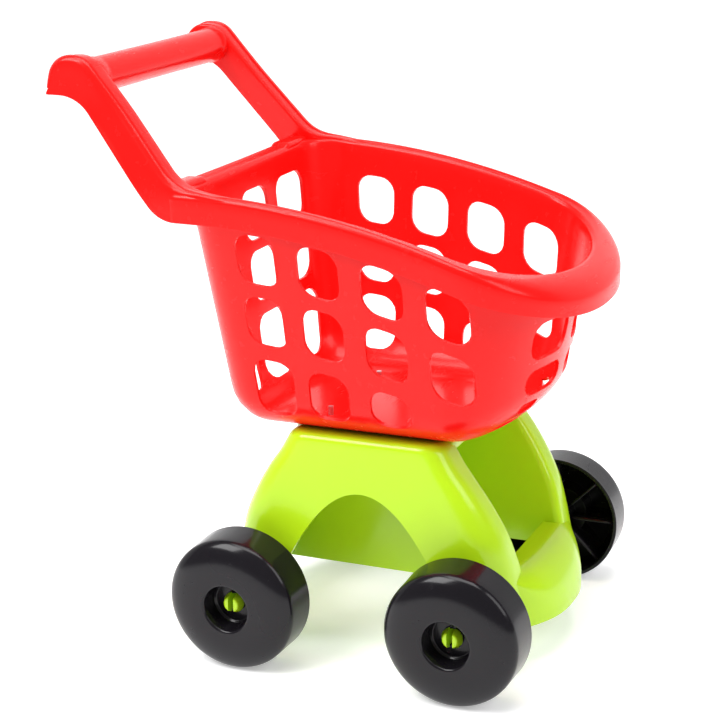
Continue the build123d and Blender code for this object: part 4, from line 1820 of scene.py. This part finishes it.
@dataclass
class Studio:
    """A plain pale floor that curves up behind, soft panels of light and the camera.

    Lengths are in metres, angles in degrees, and the lens and sensor in millimetres.
    """

    floor_half: float = 9.0
    back_y: float = 1.6
    sweep: float = 0.9
    back_rise: float = 2.5
    paper_glow: float = 0.36
    surround: float = 0.3
    aim_z: float = 0.2
    azimuth: float = 24.15
    elevation: float = 16.99
    distance: float = 1.34884
    target: Point = (-0.00034, 0.0, 0.20040)
    roll: float = -1.60
    lens: float = 90.31
    sensor: float = 36.0

    def floor(self) -> None:
        """Builds the floor with its curved backdrop."""
        mesh = bmesh.new()
        turn = math.radians(self.azimuth)
        back = Vector((math.sin(turn), -math.cos(turn), 0.0))
        aside = Vector((math.cos(turn), math.sin(turn), 0.0))
        profile = [(-self.floor_half, 0.0), (self.back_y, 0.0)]
        profile += [(self.back_y + self.sweep * math.sin(bend), self.sweep * (1 - math.cos(bend)))
                    for bend in steps(0.0, math.pi / 2, 24)[1:]]
        profile.append((self.back_y + self.sweep, self.sweep + self.back_rise))
        rows = [[mesh.verts.new(-back * along + aside * across + Vector((0.0, 0.0, height)))
                 for along, height in profile] for across in (-2 * self.floor_half,
                                                              2 * self.floor_half)]
        for number in range(len(profile) - 1):
            mesh.faces.new((rows[0][number], rows[1][number], rows[1][number + 1],
                            rows[0][number + 1]))
        bmesh.ops.recalc_face_normals(mesh, faces=mesh.faces)
        data = bpy.data.meshes.new("studio_floor")
        mesh.to_mesh(data)
        mesh.free()
        data.shade_smooth()
        floor = bpy.data.objects.new("studio_floor", data)
        bpy.context.collection.objects.link(floor)
        data.materials.append(self.paper())

    def paper(self) -> bpy.types.Material:
        """The matt white paper that the floor is made of.

        Returns:
            The material.
        """
        material = bpy.data.materials.new("Studio paper")
        material.use_nodes = True
        nodes, links = material.node_tree.nodes, material.node_tree.links
        shader = nodes["Principled BSDF"]
        shader.inputs["Roughness"].default_value = 0.9
        shader.inputs["Specular IOR Level"].default_value = 0.2
        shader.inputs["Emission Color"].default_value = (1.0, 1.0, 1.0, 1.0)
        shader.inputs["Emission Strength"].default_value = self.paper_glow
        noise = nodes.new("ShaderNodeTexNoise")
        noise.inputs["Scale"].default_value = 3.0
        ramp = nodes.new("ShaderNodeValToRGB")
        ramp.color_ramp.elements[0].color = (0.86, 0.86, 0.87, 1.0)
        ramp.color_ramp.elements[1].color = (0.89, 0.89, 0.89, 1.0)
        place = nodes.new("ShaderNodeTexCoord")
        links.new(place.outputs["Object"], noise.inputs["Vector"])
        links.new(noise.outputs["Fac"], ramp.inputs["Fac"])
        links.new(ramp.outputs["Color"], shader.inputs["Base Color"])
        return material

    def panel(self, name: str, azimuth: float, elevation: float, distance: float,
              size: Spot, power: float) -> None:
        """Adds one soft panel of light that faces the cart.

        Args:
            name: the lamp's name.
            azimuth: where it stands, in degrees.
            elevation: how high it stands, in degrees.
            distance: how far off it stands.
            size: its width and height.
            power: its power in watts.
        """
        data = bpy.data.lights.new(name, "AREA")
        data.shape = "RECTANGLE"
        data.size, data.size_y = size
        data.energy = power
        lamp = bpy.data.objects.new(name, data)
        way = direction(azimuth, elevation)
        lamp.location = Vector((0.0, 0.0, self.aim_z)) + way * distance
        lamp.rotation_euler = way.to_track_quat("Z", "Y").to_euler()
        bpy.context.collection.objects.link(lamp)

    def world(self) -> None:
        """Sets an even pale surround."""
        world = bpy.data.worlds.new("Studio")
        world.use_nodes = True
        shade = world.node_tree.nodes["Background"]
        shade.inputs["Color"].default_value = (1.0, 1.0, 1.0, 1.0)
        shade.inputs["Strength"].default_value = self.surround
        bpy.context.scene.world = world

    def camera(self) -> None:
        """Sets the camera."""
        back = direction(self.azimuth, self.elevation)
        right = (-back).cross(Vector((0.0, 0.0, 1.0))).normalized()
        up = right.cross(-back)
        tilt = math.radians(self.roll)
        across = right * math.cos(tilt) + up * math.sin(tilt)
        upward = up * math.cos(tilt) - right * math.sin(tilt)
        data = bpy.data.cameras.new("Camera")
        data.lens, data.sensor_width = self.lens, self.sensor
        camera = bpy.data.objects.new("Camera", data)
        turned = Matrix((across, upward, back)).transposed()
        camera.rotation_euler = turned.to_euler()
        camera.location = Vector(self.target) + back * self.distance
        bpy.context.collection.objects.link(camera)
        bpy.context.scene.camera = camera

    def build(self) -> None:
        """Sets up the floor, the lights and the camera."""
        self.floor()
        self.world()
        self.panel("key_panel", self.azimuth - 62.0, 46.0, 1.7, (0.9, 0.9), 29.0)
        self.panel("fill_panel", self.azimuth + 60.0, 34.0, 1.9, (0.8, 1.2), 14.0)
        self.panel("top_panel", self.azimuth, 84.0, 1.6, (1.3, 1.0), 28.0)
        self.camera()
        bpy.context.scene.view_settings.view_transform = "Standard"


# ---------------------------------------------------------------- the whole cart

def side_name(side: int) -> str:
    """The word for a side."""
    return "left" if side == LEFT else "right"


def end_name(end: int) -> str:
    """The word for an end."""
    return "front" if end == 1 else "rear"


def main() -> None:
    """Builds and dresses every piece of the cart, then sets up the studio."""
    places, finishes = Places(), Finishes()
    tub = Tub(places)
    arms, base, wheel, pin = Arms(places, tub), Base(places), Wheel(places), Pin(places)
    body = "cart_frame"
    dress(tub.build(), finishes.red, body, ("basket",))
    for side in (RIGHT, LEFT):
        word = side_name(side)
        dress(arms.arm(side, f"arm_{word}"), finishes.red, body)
        dress(arms.shoulder(side, f"wall_shoulder_{word}"), finishes.red, body)
        dress(base.leg(side, f"base_leg_{word}"), finishes.lime, body,
              ("base_frame",))
    dress(arms.bar(), finishes.red, body, ("handle_bar",))
    dress(base.deck(), finishes.lime, body)
    for end in (1, -1):
        dress(base.apron(end, f"base_apron_{end_name(end)}"), finishes.lime, body)
        for side in (RIGHT, LEFT):
            place = f"{end_name(end)}_{side_name(side)}"
            dress(base.boss(end, side, f"axle_boss_{place}"), finishes.lime, body)
            dress(pin.build(end, side, f"split_pin_{place}"), finishes.lime,
                  body, (f"axle_pin_{place}",))
            dress(wheel.build(end, side, f"road_wheel_{place}"), finishes.black,
                  f"wheel_{place}", (f"wheel_{place}",))
    for number, slot in enumerate(bpy.data.objects["basket_screws"].material_slots):
        slot.material = finishes.steel
        log.info("basket_screws slot %d is plated steel", number)
    Studio().build()


if __name__ == "__main__":
    logging.basicConfig(level=logging.INFO, format="%(name)s: %(message)s")
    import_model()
    main()
